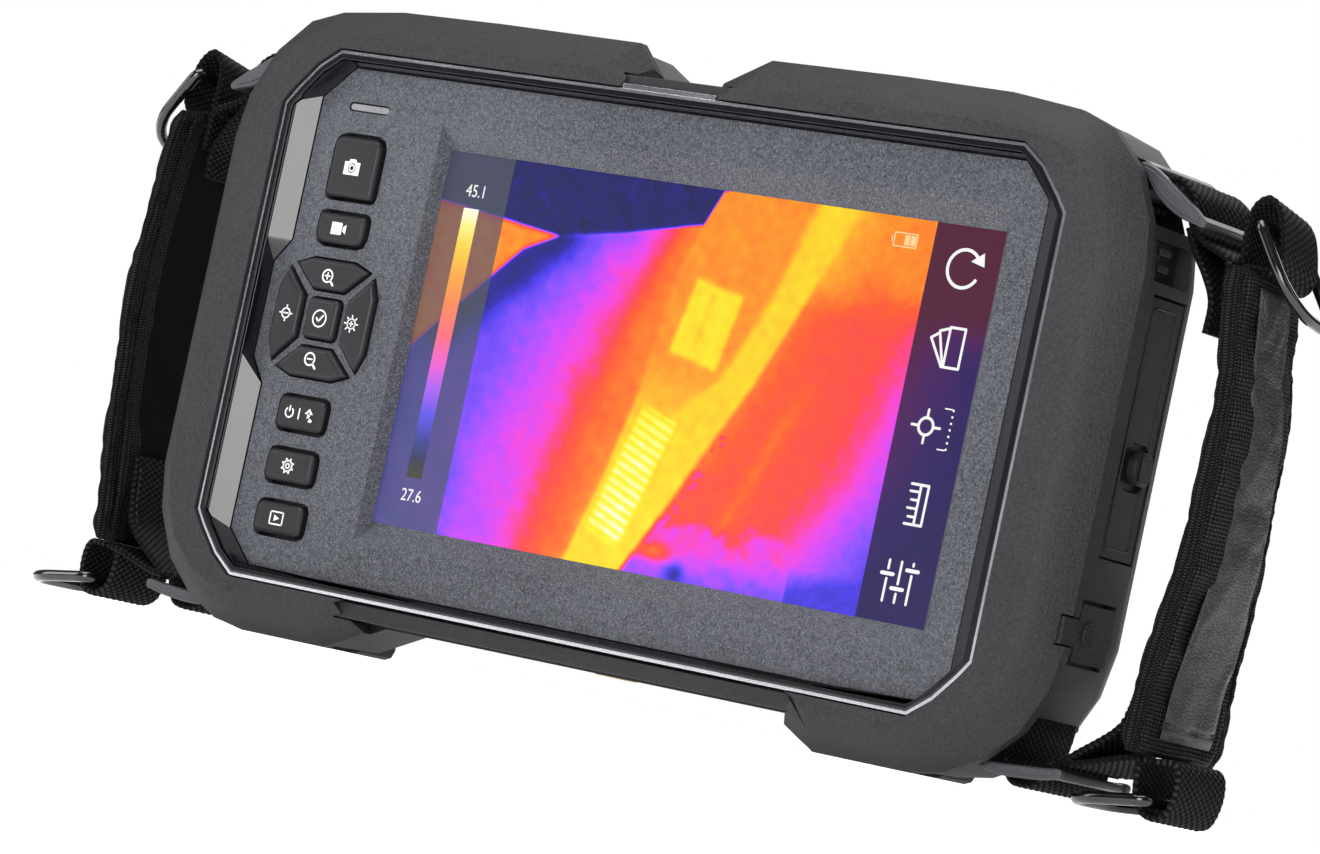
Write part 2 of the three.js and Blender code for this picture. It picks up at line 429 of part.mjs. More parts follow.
function octoYZ(y, z, ry, rz) {
  const k = 0.42;
  return [[y - ry, z - rz * k], [y - ry * k, z - rz], [y + ry * k, z - rz], [y + ry, z - rz * k], [y + ry, z + rz * k], [y + ry * k, z + rz], [y - ry * k, z + rz], [y - ry, z + rz * k]];
}
// A prism along X from an outline in Y and Z.
function prismX(points, x0, x1) {
  const shape = new THREE.Shape(ccw(points).map(([y, z]) => new THREE.Vector2(y, z)));
  const g = new THREE.ExtrudeGeometry(shape, { depth: x1 - x0, bevelEnabled: false, steps: 1 });
  const p = g.attributes.position;
  for (let i = 0; i < p.count; i++) p.setXYZ(i, x0 + p.getZ(i), p.getX(i), p.getY(i));
  return solid(g);
}
add("side_catch", join([box(123.5, 10.6, 41.0, 125.0, 12.2, 46.2), box(123.5, 10.6, 41.0, 126.2, 15.0, 42.6), box(123.5, 10.6, 44.6, 126.2, 15.0, 46.2)]), "steel");

// ---------------------------------------------------------------- rubber plug flap over the service jack
const flap = join([
  box(125.6, 6.9, -44.3, 127.5, 20.2, -31.7),
  box(126.0, 0.9, -41.2, 127.6, 7.2, -35.3),
  box(121.6, 10.0, -41.2, 126, 16.4, -34.8),
]);
add("plug_flap", flap, "rubber");
let jack = cyl("x", 4.0, 0, 13.7, -38, 104.0, 118.3, 16).subtract(cyl("x", 2.0, 0, 13.7, -38, 108, 119, 12));
add("service_jack", jack, "steel");

// ---------------------------------------------------------------- battery, its cover and slide latch
add("battery_pack", prism(rrect(BATT[0] + 1.2, BATT[2] + 1.2, BATT[1] - 1.2, BATT[3] - 1.2, 3, 2), 21, POD_Y - 3.4), "battery");
let cover = loft([
  [POD_Y - 2.1, rrect(BATT[0] - 3.0, BATT[2] - 2.0, BATT[1] + 3.0, BATT[3] + 2.0, 3.6, 2)],
  [POD_Y - 0.2, rrect(BATT[0] - 3.0, BATT[2] - 2.0, BATT[1] + 3.0, BATT[3] + 2.0, 3.6, 2)],
  [POD_Y + 0.6, rrect(BATT[0] - 2.0, BATT[2] - 1.0, BATT[1] + 2.0, BATT[3] + 1.0, 3.0, 2)],
]);
const bx = (BATT[0] + BATT[1]) / 2;
cover = cut(cover, [box(bx - 10.5, POD_Y - 1.2, 30.0, bx + 10.5, POD_Y + 4, 39.5)]);
add("battery_cover", cover, "plastic");
add("battery_latch", join([box(bx - 9.6, POD_Y - 0.9, 30.6, bx + 9.6, POD_Y + 0.5, 35.6), ...[31.6, 33.1, 34.6].map((z) => box(bx - 7, POD_Y, z - 0.35, bx + 7, POD_Y + 1.1, z + 0.35))]), "key");

// ---------------------------------------------------------------- fold-out stand
const [sx0, sx1, sz0, sz1] = STAND;
let stand = prism([[sx0, sz0 + 6], [sx0 + 6, sz0], [sx1 - 6, sz0], [sx1, sz0 + 6], [sx1, sz1], [sx0, sz1]], POD_Y - 3.0, POD_Y - 0.2);
stand = cut(stand, [prism(rrect(sx0 + 9, sz0 + 11, sx1 - 9, sz1 - 20, 3, 2), POD_Y - 1.2, POD_Y + 2), box(sx0 - 1, POD_Y - 4, sz1 - 5.2, sx0 + 7, POD_Y + 1, sz1 + 1), box(sx1 - 7, POD_Y - 4, sz1 - 5.2, sx1 + 1, POD_Y + 1, sz1 + 1)]);
stand = stand.add(cyl("x", 0.9, 0, POD_Y - 1.6, sz1 - 2.6, sx0 + 2.6, sx1 - 2.6, 10));
add("kickstand", stand, "plastic");
const ear = (x) => cut(join([box(x, POD_Y - 3.1, sz1 - 4.3, x + 1.9, POD_Y - 0.4, sz1 - 0.3)]), [cyl("x", 1.15, 0, POD_Y - 1.6, sz1 - 2.6, x - 1, x + 3, 12)]);
add("stand_bracket_left", ear(sx0 + 3.6), "steel");
add("stand_bracket_right", ear(sx1 - 5.5), "steel");

// ---------------------------------------------------------------- connectors, insert, speaker, screws
add("tripod_insert", cyl("z", 5.0, 0, 22, 0, -67.6, -58.2, 16).subtract(cyl("z", 3.1, 0, 22, 0, -70, -59.6, 16)), "brass");
let probe = cyl("z", 7.5, 0, 21.4, 0, 56.4, 66.6, 20).subtract(cyl("z", 5.7, 0, 21.4, 0, 59.4, 70, 20));
probe = probe.add(cyl("z", 2.2, 0, 21.4, 0, 59, 61.4, 10));
add("probe_socket", probe, "steel");
add("speaker", cyl("y", 10, -86, 0, 0, 27.2, 31.6, 16), "steel");
screwAt.forEach(([x, z], i) => {
  const s = join([cyl("y", 3.0, x, 0, z, BACK_Y - 5.6, BACK_Y - 2.2, 12)]).subtract(cyl("y", 1.3, x, 0, z, BACK_Y - 4.0, BACK_Y, 6));
  add("rear_screw_" + (i + 1), s, "steel");
});

// ---------------------------------------------------------------- hand straps
// Everything on the strap is drawn in X and Z for the right side and runs along Y.
const PADC = [[146.6, -59.6], [147.0, -50], [148.6, -37], [150.8, -20], [151.8, -4], [152.0, 8], [151.2, 22], [149.6, 35], [148.4, 43.4]];
const RING_LEN = 20.5;
for (const [side, s] of [["right", 1], ["left", -1]]) {
  add("strap_pad_" + side, prism(flipX(ribbon(PADC, 6.0), s), PAD_Y[0], PAD_Y[1]), "fabric");
  const out = PADC.map(([x, z], i) => [x + 3.95, z]).slice(0).map(([x, z]) => [x, Math.max(-57, Math.min(41, z))]);
  add("strap_leather_" + side, prism(flipX(ribbon(out, 1.1), s), 17, 36), "leather");

  for (const top of [1, 0]) {
    const C = top ? [128.2, 57.6] : [119.9, -69.0];
    const a = top ? -32 * (Math.PI / 180) : 4 * (Math.PI / 180);
    const U = [Math.cos(a), Math.sin(a)], V = top ? [-U[1], U[0]] : [U[1], -U[0]];
    const P = (u, v) => [C[0] + u * U[0] + v * V[0], C[1] + u * U[1] + v * V[1]];
    const L = (pts) => flipX(pts.map(([u, v]) => P(u, v)), s);
    // tri-glide: lens-shaped end plates and three cross bars
    const lens = top ? [[-11, 0.2], [-8, 1.2], [8, 1.2], [11, 0.6], [11, -0.6], [6, -2.4], [0, -3.0], [-5, -2.2], [-11, -0.6]]
                     : [[-9, 0.6], [-4, 1.6], [5, 1.6], [10.5, 0.7], [10.5, -0.9], [-9, -0.9]];
    const e = top ? 11 : 10, w0 = top ? -11 : -9;
    const glide = join([
      prism(L(lens), GLIDE_Y[0], GLIDE_Y[0] + 1.75), prism(L(lens), GLIDE_Y[1] - 1.75, GLIDE_Y[1]),
      prism(L([[w0, -1.0], [w0, 1.0], [w0 + 2.4, 1.1], [w0 + 2.4, -1.1]]), GLIDE_Y[0] + 1, GLIDE_Y[1] - 1),
      prism(L([[-1.6, -1.1], [-1.6, 1.1], [1.6, 1.1], [1.6, -1.1]]), GLIDE_Y[0] + 1, GLIDE_Y[1] - 1),
      prism(L([[e - 2.6, -1.1], [e - 2.6, 1.1], [e, 0.9], [e, -0.9]]), GLIDE_Y[0] + 1, GLIDE_Y[1] - 1),
    ]);
    add("tri_glide_" + (top ? "top_" : "bottom_") + side, glide, "buckle");
    // webbing: from the housing's bar, through the tri-glide, to the end of the pad, with its free tail
    let web, loopOut, loopHole;
    if (top) {
      const path = [[111.0, 56.0], [108.2, 56.1], [105.6, 57.7], [105.3, 60.6], [107.0, 62.5], [109.6, 63.0], [113.0, 62.6], P(-11, -2.5), P(-7.6, -2.4), P(-6.0, -1.6), P(-3.7, 1.7), P(-2.2, 2.6), P(2.2, 2.6), P(3.8, 1.7), P(6.0, -1.6), P(7.4, -2.5), P(11.4, -3.2), [143.4, 45.4], [144.0, 41.5], [144.3, 36.0]];
      web = prism(flipX(ribbon(path, WEB_T), s), WEB_Y[0], WEB_Y[1]);
      const tail = [P(7.0, -3.4), [134.6, 46.8], [138.4, 41.8], [141.3, 36.4], [141.5, 29.4]];
      web = web.add(prism(flipX(ribbon(tail, WEB_T), s), WEB_Y[0], WEB_Y[1]));
      loopOut = [[146.0, 44.2], [145.8, 52], [146.8, 58.6], [150.2, 61.0], [153.8, 58.4], [156.2, 52], [156.6, 47.2], [154.4, 44.2]];
      loopHole = [[147.4, 45.8], [147.3, 52], [148.1, 57.8], [150.3, 59.3], [152.7, 57.5], [154.7, 51.8], [155.0, 47.6], [153.7, 45.8]];
      const link = [[142.6, 46.2], [144.4, 45.4], [147.0, 45.0]];
      web = web.add(prism(flipX(ribbon(link, WEB_T), s), WEB_Y[0], WEB_Y[1]));
    } else {
      const path = [[107.3, -57.0], [108.4, -54.4], [111.4, -53.4], [114.0, -55.2], [114.7, -59.2], [114.2, -63.0], P(-5.9, -3.2), P(-5.3, -1.6), P(-3.6, 1.7), P(-2.2, 2.6), P(2.2, 2.6), P(3.6, 1.7), P(5.3, -1.6), P(6.4, -3.2), [131.0, -65.4], [143.6, -62.0], [147.0, -61.4]];
      web = prism(flipX(ribbon(path, WEB_T), s), WEB_Y[0], WEB_Y[1]);
      const tail = [[128.0, -66.0], [131.0, -63.6], [141.2, -55.4], [142.8, -50.6], [144.2, -39.0]];
      web = web.add(prism(flipX(ribbon(tail, WEB_T), s), WEB_Y[0], WEB_Y[1]));
      loopOut = [[145.4, -60.5], [145.2, -66], [146.6, -71.4], [150.2, -73.9], [154.4, -73.2], [156.6, -68.0], [156.4, -60.5]];
      loopHole = [[147.2, -62.4], [146.7, -66], [147.9, -70.6], [150.6, -72.4], [153.6, -71.9], [155.1, -67.6], [155.0, -62.4]];
    }
    const [l0, l1] = top ? LOOP_TOP_Y : LOOP_Y;
    web = web.add(prism(flipX(loopOut, s), l0, l1, [flipX(loopHole, s)]));
    add("strap_web_" + (top ? "top_" : "bottom_") + side, web, "webbing");
    // ring: a rounded oval of wire whose inner bar lies in the loop
    const pin = top ? [151.0, 54.0] : [150.9, -69.8];
    const dir = top ? [Math.sin(0.61), -Math.cos(0.61)] : s > 0 ? [-Math.cos(0.13), -Math.sin(0.13)] : [Math.cos(0.13), -Math.sin(0.13)];
    const loopPts = rrect(l0 - 2.6, 0, l1 + 2.6, RING_LEN, [2.2, 2.2, 8.5, 8.5], 4).map(([y, d]) => new THREE.Vector3(s * (pin[0] + d * dir[0]), y, pin[1] + d * dir[1]));
    const ring = wireLoop(loopPts, new THREE.Vector3(s * -dir[1], 0, dir[0]), RING_WIRE_R, 8);
    add("ring_" + (top ? "top_" : "bottom_") + side, ring, "ringmetal");
  }
}

root.position.set(...FRAME_SHIFT);
root.updateMatrixWorld(true);

export default root;
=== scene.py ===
# The look of a handheld thermal imaging display unit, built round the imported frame.
# Lengths in the drawings below are millimetres from the display's centre line; D() turns them into the frame.
import bpy, bmesh, json, math
import numpy as np
from mathutils import Vector, Matrix

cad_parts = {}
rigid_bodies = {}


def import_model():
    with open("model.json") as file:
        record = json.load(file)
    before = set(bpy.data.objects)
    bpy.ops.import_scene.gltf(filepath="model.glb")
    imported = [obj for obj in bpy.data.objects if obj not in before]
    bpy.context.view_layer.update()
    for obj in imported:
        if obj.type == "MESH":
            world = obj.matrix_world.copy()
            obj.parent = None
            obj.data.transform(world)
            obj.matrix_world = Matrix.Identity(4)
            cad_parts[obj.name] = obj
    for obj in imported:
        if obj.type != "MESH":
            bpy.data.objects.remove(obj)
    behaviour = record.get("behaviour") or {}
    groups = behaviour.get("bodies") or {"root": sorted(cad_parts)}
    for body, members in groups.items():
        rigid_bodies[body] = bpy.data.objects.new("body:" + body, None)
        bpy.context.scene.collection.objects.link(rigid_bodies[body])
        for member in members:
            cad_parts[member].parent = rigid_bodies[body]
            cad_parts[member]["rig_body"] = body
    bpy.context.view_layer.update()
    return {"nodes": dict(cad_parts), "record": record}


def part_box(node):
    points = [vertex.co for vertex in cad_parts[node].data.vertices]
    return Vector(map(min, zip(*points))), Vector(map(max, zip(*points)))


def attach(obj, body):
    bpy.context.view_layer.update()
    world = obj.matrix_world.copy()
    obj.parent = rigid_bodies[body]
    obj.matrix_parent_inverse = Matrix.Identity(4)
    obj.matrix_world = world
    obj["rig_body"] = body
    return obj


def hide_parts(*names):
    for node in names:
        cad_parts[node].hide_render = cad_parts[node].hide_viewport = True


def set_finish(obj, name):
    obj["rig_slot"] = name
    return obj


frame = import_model()
NODES = frame["nodes"]
BODY = {n: b for b, ns in frame["record"]["behaviour"]["bodies"].items() for n in ns}
OFF = np.array([4.245, -24.25, 74.5])   # drawing origin in the frame, mm


def D(x, y, z):
    return Vector(((x + OFF[0]) / 1000, (y + OFF[1]) / 1000, (z + OFF[2]) / 1000))


def DA(a):
    return (np.asarray(a, float) + OFF) / 1000


def lin(c):
    """sRGB 0..255 to linear."""
    out = []
    for v in c:
        v = v / 255
        out.append(v / 12.92 if v <= 0.04045 else ((v + 0.055) / 1.055) ** 2.4)
    return tuple(out)


# ------------------------------------------------------------------ materials
class Tree:
    """A Principled material and short calls to add nodes to it."""

    def __init__(self, name):
        self.m = bpy.data.materials.new(name)
        self.m.use_nodes = True
        self.nt = self.m.node_tree
        self.b = self.nt.nodes["Principled BSDF"]
        self.out = self.nt.nodes["Material Output"]

    def node(self, kind, ins=None, **props):
        n = self.nt.nodes.new(kind)
        for k, v in props.items():
            setattr(n, k, v)
        for k, v in (ins or {}).items():
            s = n.inputs[k]
            if hasattr(v, "is_output"):
                self.nt.links.new(v, s)
            else:
                s.default_value = v
        return n

    def math(self, op, a, b=0.0, c=None):
        n = self.node("ShaderNodeMath", operation=op)
        for i, v in enumerate([a, b] + ([c] if c is not None else [])):
            if hasattr(v, "is_output"):
                self.nt.links.new(v, n.inputs[i])
            else:
                n.inputs[i].default_value = v
        return n.outputs[0]

    def coords(self):
        if not hasattr(self, "_co"):
            self._co = self.node("ShaderNodeTexCoord").outputs["Object"]
        return self._co

    def noise(self, scale, detail=2.0, rough=0.5, vec=None):
        return self.node("ShaderNodeTexNoise", {"Vector": vec or self.coords(), "Scale": scale, "Detail": detail, "Roughness": rough}).outputs["Fac"]

    def voronoi(self, scale, feature="F1", vec=None):
        return self.node("ShaderNodeTexVoronoi", {"Vector": vec or self.coords(), "Scale": scale}, feature=feature).outputs["Distance"]

    def ramp(self, fac, stops):
        n = self.node("ShaderNodeValToRGB", {"Fac": fac})
        el = n.color_ramp.elements
        while len(el) > 1:
            el.remove(el[-1])
        el[0].position = stops[0][0]
        el[0].color = (*stops[0][1], 1)
        for p, c in stops[1:]:
            e = el.new(p)
            e.color = (*c, 1)
        return n.outputs["Color"]

    def range(self, v, a, b, c, d):
        return self.node("ShaderNodeMapRange", {"Value": v, "From Min": a, "From Max": b, "To Min": c, "To Max": d}).outputs["Result"]

    def set(self, **k):
        names = {"base": "Base Color", "rough": "Roughness", "metal": "Metallic", "spec": "Specular IOR Level", "coat": "Coat Weight",
                 "coat_rough": "Coat Roughness", "sheen": "Sheen Weight", "sheen_rough": "Sheen Roughness", "emit": "Emission Color", "power": "Emission Strength",
                 "normal": "Normal", "ior": "IOR"}
        for a, v in k.items():
            s = self.b.inputs[names[a]]
            if hasattr(v, "is_output"):
                self.nt.links.new(v, s)
            elif a in ("base", "emit"):
                s.default_value = (*v, 1)
            else:
                s.default_value = v
        return self

    def bump(self, height, distance, strength=1.0, under=None):
        ins = {"Height": height, "Distance": distance, "Strength": strength}
        if under is not None:
            ins["Normal"] = under
        return self.node("ShaderNodeBump", ins).outputs["Normal"]


def plain(name, lo, hi, rough, mottle=35, grain=1700, bump=0.00005, metal=0.0, spec=0.5, coat=0.0, coat_rough=0.08, sheen=0.0, speck=None, vary=0.05, pits=0.0, bite=0.45):
    """Moulded or coated surface: slow tone changes, fine grain, roughness that varies, and if wanted bright specks and pits."""
    t = Tree(name)
    slow, fine = t.noise(mottle, 3.0), t.noise(grain, 2.0, 0.6)
    mixed = t.math("ADD", t.math("MULTIPLY", slow, 1 - bite), t.math("MULTIPLY", fine, bite))
    stops = [(0.33, lo), (0.67, hi)]
    base = t.ramp(mixed, stops)
    if speck:
        amount, colour, scale = speck
        v = t.voronoi(scale)
        mask = t.range(v, 0.16, 0.30, 1.0, 0.0)
        pick = t.range(t.noise(scale * 0.31, 0.0), 1 - amount, 1 - amount + 0.05, 0.0, 1.0)
        mx = t.node("ShaderNodeMix", data_type="RGBA")
        t.nt.links.new(t.math("MULTIPLY", mask, pick), mx.inputs[0])
        t.nt.links.new(base, mx.inputs[6])
        mx.inputs[7].default_value = (*colour, 1)
        base = mx.outputs[2]
    t.set(base=base, rough=t.range(mixed, 0.3, 0.7, rough - vary, rough + vary), metal=metal, spec=spec, coat=coat, coat_rough=coat_rough, sheen=sheen)
    h = fine
    if pits:
        h = t.math("ADD", fine, t.math("MULTIPLY", t.voronoi(grain * 0.8), pits))
    if bump:
        t.set(normal=t.bump(h, bump))
    return t.m


def weave(name, lo, hi, pu, pv, rough=0.8, depth=0.00012, sheen=0.12, style="basket", sheen_rough=0.5):
    """Woven cloth from its UV map, which is in metres along and across. style basket, rib or web."""
    t = Tree(name)
    uv = t.node("ShaderNodeUVMap").outputs["UV"]
    # the threads wander a little
    wob = t.noise(160.0, 2.0)
    sep = t.node("ShaderNodeSeparateXYZ", {"Vector": uv})
    U = t.math("ADD", t.math("DIVIDE", sep.outputs["X"], pu), t.math("MULTIPLY", wob, 0.35))
    V = t.math("ADD", t.math("DIVIDE", sep.outputs["Y"], pv), t.math("MULTIPLY", wob, 0.25))
    if style == "basket":
        check = t.math("MODULO", t.math("ADD", t.math("ADD", t.math("FLOOR", U), t.math("FLOOR", V)), 2000.0), 2.0)
        a = t.math("ABSOLUTE", t.math("SINE", t.math("MULTIPLY", U, math.pi)))
        b = t.math("ABSOLUTE", t.math("SINE", t.math("MULTIPLY", V, math.pi)))
        ha = t.math("MULTIPLY", a, t.math("ADD", 0.45, t.math("MULTIPLY", b, 0.55)))
        hb = t.math("MULTIPLY", b, t.math("ADD", 0.45, t.math("MULTIPLY", a, 0.55)))
        h = t.math("ADD", t.math("MULTIPLY", ha, check), t.math("MULTIPLY", hb, t.math("SUBTRACT", 1.0, check)))
    else:
        col = t.math("FLOOR", V)
        par = t.math("MULTIPLY", t.math("MODULO", t.math("ADD", col, 2000.0), 2.0), 0.5)
        b = t.math("POWER", t.math("ABSOLUTE", t.math("SINE", t.math("MULTIPLY", V, math.pi))), 0.7)
        c = t.math("ADD", 0.55, t.math("MULTIPLY", 0.45, t.math("COSINE", t.math("MULTIPLY", t.math("ADD", U, par), 2 * math.pi))))
        h = t.math("MULTIPLY", b, c)
    fibre = t.noise(5200.0, 2.0, 0.7)
    # base colour follows the weave's height h: painted shade in the valleys between threads and painted highlight on
    # the thread tops, plus random tone from a slow noise
    painted_weave_shade_and_tone = t.math("ADD", t.math("MULTIPLY", h, 0.75), t.math("MULTIPLY", t.noise(700.0, 2.0), 0.3))
    t.set(base=t.ramp(painted_weave_shade_and_tone, [(0.22, lo), (0.58, tuple(a + 0.22 * (b - a) for a, b in zip(lo, hi))), (0.92, hi)]),
          rough=t.range(h, 0, 1, min(1, rough + 0.22), rough - 0.08), sheen=sheen, sheen_rough=sheen_rough, spec=0.12)
    t.set(normal=t.bump(t.math("ADD", h, t.math("MULTIPLY", fibre, 0.22)), depth))
    return t.m


def leather(name):
    t = Tree(name)
    cells = t.node("ShaderNodeTexVoronoi", {"Vector": t.coords(), "Scale": 1150.0}, feature="DISTANCE_TO_EDGE").outputs["Distance"]
    creases = t.range(cells, 0.0, 0.22, 0.0, 1.0)
    slow = t.noise(45.0, 3.0)
    fine = t.noise(2600.0, 2.0)
    tone = t.math("ADD", t.math("MULTIPLY", creases, 0.45), t.math("MULTIPLY", slow, 0.55))
    t.set(base=t.ramp(tone, [(0.2, (0.0070, 0.0075, 0.0085)), (0.75, (0.0150, 0.0160, 0.0180))]), rough=t.range(tone, 0.2, 0.9, 0.50, 0.38), spec=0.45, coat=0.06, coat_rough=0.38)
    t.set(normal=t.bump(t.math("ADD", creases, t.math("MULTIPLY", fine, 0.3)), 0.00007))
    return t.m


def glow(name, colour, power=1.0):
    t = Tree(name)
    n = t.noise(900.0, 1.0)
    t.set(base=(0.02, 0.02, 0.02), rough=0.2, emit=t.ramp(n, [(0.3, tuple(c * 0.97 for c in colour)), (0.7, colour)]), power=power)
    return t.m


PALETTE = [(0.00, (4, 4, 14)), (0.10, (14, 14, 70)), (0.17, (18, 20, 112)), (0.26, (34, 24, 176)), (0.33, (70, 50, 240)), (0.40, (132, 72, 255)), (0.47, (200, 66, 255)),
           (0.53, (246, 60, 226)), (0.58, (255, 58, 150)), (0.63, (255, 66, 66)), (0.69, (255, 90, 28)), (0.75, (255, 128, 20)), (0.81, (255, 168, 24)), (0.87, (255, 214, 18)), (0.93, (255, 246, 34)), (0.97, (255, 252, 130)), (1.0, (255, 255, 246))]


def thermal_material():
    t = Tree("thermal_picture")
    temp = t.node("ShaderNodeAttribute", attribute_name="heat_level").outputs["Fac"]
    grain = t.math("ADD", t.math("MULTIPLY", t.math("SUBTRACT", t.noise(620.0, 2.0), 0.5), 0.028), t.math("MULTIPLY", t.math("SUBTRACT", t.noise(1700.0, 1.0), 0.5), 0.020))
    stops = [(p, lin(c)) for p, c in PALETTE]
    col = t.ramp(t.math("ADD", temp, grain), stops)
    sep = t.node("ShaderNodeSeparateXYZ", {"Vector": t.coords()})
    left = t.math("LESS_THAN", sep.outputs["X"], float(D(-44.9, 0, 0).x))
    right = t.math("GREATER_THAN", sep.outputs["X"], float(D(73.2, 0, 0).x))

    def mix(fac, a, b):
        mx = t.node("ShaderNodeMix", data_type="RGBA")
        for s, v in ((mx.inputs[0], fac), (mx.inputs[6], a), (mx.inputs[7], b)):
            if hasattr(v, "is_output"):
                t.nt.links.new(v, s)
            else:
                s.default_value = (*v, 1) if isinstance(v, tuple) else v
        return mx.outputs[2]

    col = mix(t.math("MULTIPLY", left, 0.80), col, lin((74, 78, 90)))
    dim = t.node("ShaderNodeMix", data_type="RGBA", blend_type="MULTIPLY")
    dim.inputs[0].default_value = 1.0
    t.nt.links.new(col, dim.inputs[6])
    dim.inputs[7].default_value = (1.0, 0.12, 1.1, 1)
    col = mix(right, col, mix(0.925, dim.outputs[2], (0.0040, 0.0005, 0.0280)))
    t.set(base=(0.004, 0.004, 0.005), rough=0.25, emit=col, power=0.97, coat=0.15, coat_rough=0.12)
    return t.m


MAT = {
    "rubber": plain("soft_rubber", (0.0085, 0.0090, 0.0104), (0.0330, 0.0340, 0.0370), 0.58, mottle=30, grain=1900, bump=0.00016, spec=0.34, vary=0.06, pits=0.4, bite=0.8),
    "panel": plain("speckled_panel", (0.024, 0.026, 0.033), (0.112, 0.116, 0.136), 0.42, mottle=22, grain=2000, bump=0.00012, spec=0.42, metal=0.25, pits=0.4, speck=(0.60, (0.25, 0.26, 0.29), 2500), bite=0.8),
    "gloss": plain("gloss_black_trim", (0.0040, 0.0045, 0.0060), (0.0055, 0.0060, 0.0080), 0.16, mottle=20, grain=900, bump=0.0, spec=0.45, coat=0.45, coat_rough=0.05, vary=0.02),
    "chrome": plain("bright_chrome", (0.66, 0.67, 0.70), (0.78, 0.79, 0.82), 0.20, mottle=60, grain=2500, bump=0.000006, metal=1.0, vary=0.04),
    "plastic": plain("textured_plastic", (0.0100, 0.0104, 0.0118), (0.0240, 0.0248, 0.0272), 0.55, mottle=30, grain=2100, bump=0.00009, spec=0.34, pits=0.4, bite=0.7),
    "door": plain("door_plastic", (0.0090, 0.0094, 0.0106), (0.0190, 0.0196, 0.0216), 0.48, mottle=30, grain=2100, bump=0.00005, spec=0.34, pits=0.3),
    "key": plain("satin_key", (0.0105, 0.0110, 0.0125), (0.0160, 0.0166, 0.0190), 0.42, mottle=70, grain=2600, bump=0.000018, spec=0.36),
    "silicone": plain("black_silicone", (0.0070, 0.0072, 0.0080), (0.0110, 0.0112, 0.0122), 0.62, mottle=50, grain=1500, bump=0.00003),
    "steel": plain("plain_steel", (0.36, 0.37, 0.38), (0.48, 0.49, 0.50), 0.32, mottle=80, grain=1200, bump=0.00002, metal=1.0, vary=0.08),
    "brass": plain("turned_brass", (0.46, 0.33, 0.13), (0.60, 0.44, 0.19), 0.28, mottle=80, grain=1500, bump=0.00002, metal=1.0),
    "board": plain("green_solder_mask", (0.006, 0.050, 0.020), (0.010, 0.080, 0.032), 0.35, mottle=90, grain=700, bump=0.00003, coat=0.4),
    "battery": plain("battery_wrap", (0.012, 0.013, 0.016), (0.019, 0.020, 0.024), 0.38, mottle=40, grain=1500, bump=0.00002),
    "buckle": plain("buckle_plastic", (0.0420, 0.0440, 0.0490), (0.0640, 0.0670, 0.0740), 0.38, mottle=120, grain=1400, bump=0.00003, spec=0.5, vary=0.08),
    "wire": plain("gloss_black_wire", (0.0060, 0.0060, 0.0068), (0.0095, 0.0095, 0.0105), 0.16, mottle=90, grain=1500, bump=0.000012, metal=0.55, spec=0.7, coat=0.9, coat_rough=0.06),
    "glass": plain("screen_glass", (0.004, 0.004, 0.005), (0.006, 0.006, 0.007), 0.10, mottle=20, grain=900, bump=0.0, coat=1.0),
    "led": plain("light_guide", (0.22, 0.22, 0.24), (0.30, 0.30, 0.32), 0.30, mottle=90, grain=1500, bump=0.00002, coat=0.3),
    "print": plain("white_print", (0.74, 0.74, 0.74), (0.84, 0.84, 0.84), 0.55, mottle=300, grain=3000, bump=0.000006),
    "white_ui": glow("white_on_screen", (0.93, 0.93, 0.93), 1.0),
    "amber_ui": glow("amber_on_screen", lin((255, 214, 150)), 1.0),
    "picture": thermal_material(),
    "web": weave("webbing_weave", (0.0004, 0.0004, 0.0005), (0.0300, 0.0305, 0.0330), 0.0015, 0.00115, rough=0.56, depth=0.00016, sheen=0.0, style="web"),
    "fabric": weave("pad_cover_weave", (0.0004, 0.0004, 0.0005), (0.0360, 0.0365, 0.0395), 0.00086, 0.00090, rough=0.56, depth=0.00032, sheen=0.0),
    "binding": weave("binding_tape_weave", (0.0004, 0.0004, 0.0005), (0.0320, 0.0325, 0.0352), 0.00066, 0.00112, rough=0.56, depth=0.00028, sheen=0.0, style="web"),
    "lining": weave("matt_lining", (0.0008, 0.0008, 0.0010), (0.0030, 0.0031, 0.0036), 0.00040, 0.00040, rough=0.9, depth=0.00003, sheen=0.0),
    "leather": leather("grained_leather"),
    "thread": plain("black_thread", (0.0060, 0.0060, 0.0066), (0.0160, 0.0160, 0.0174), 0.5, mottle=900, grain=4000, bump=0.00003),
    "dark_line": plain("dark_gap", (0.0015, 0.0015, 0.0018), (0.0030, 0.0030, 0.0034), 0.7, mottle=100, grain=2000, bump=0.00002),
}

NODE_MAT = {"front_panel": "panel", "gloss_trim": "gloss", "chrome_ring": "chrome", "front_housing": "plastic", "bumper_left": "rubber", "bumper_right": "rubber", "rear_housing": "plastic",
            "housing_seal": "silicone", "touch_glass": "glass", "lcd_module": "steel", "keypad_mat": "silicone", "keypad_board": "board", "main_board": "board", "processor_shield": "steel",
            "port_block": "steel", "port_door": "door", "door_latch_knob": "door", "side_catch": "door", "plug_flap": "rubber", "service_jack": "steel", "battery_pack": "battery",
            "battery_cover": "plastic", "battery_latch": "key", "kickstand": "plastic", "stand_bracket_left": "steel", "stand_bracket_right": "steel", "tripod_insert": "brass",
            "probe_socket": "steel", "speaker": "steel", "light_bar": "led"}
WIDTH = {"front_panel": 0.25, "gloss_trim": 0.20, "chrome_ring": 0.30, "bumper_left": 0.9, "bumper_right": 0.9, "front_housing": 0.5, "rear_housing": 0.5, "port_door": 0.25,
         "battery_cover": 0.4, "kickstand": 0.4, "plug_flap": 0.35}


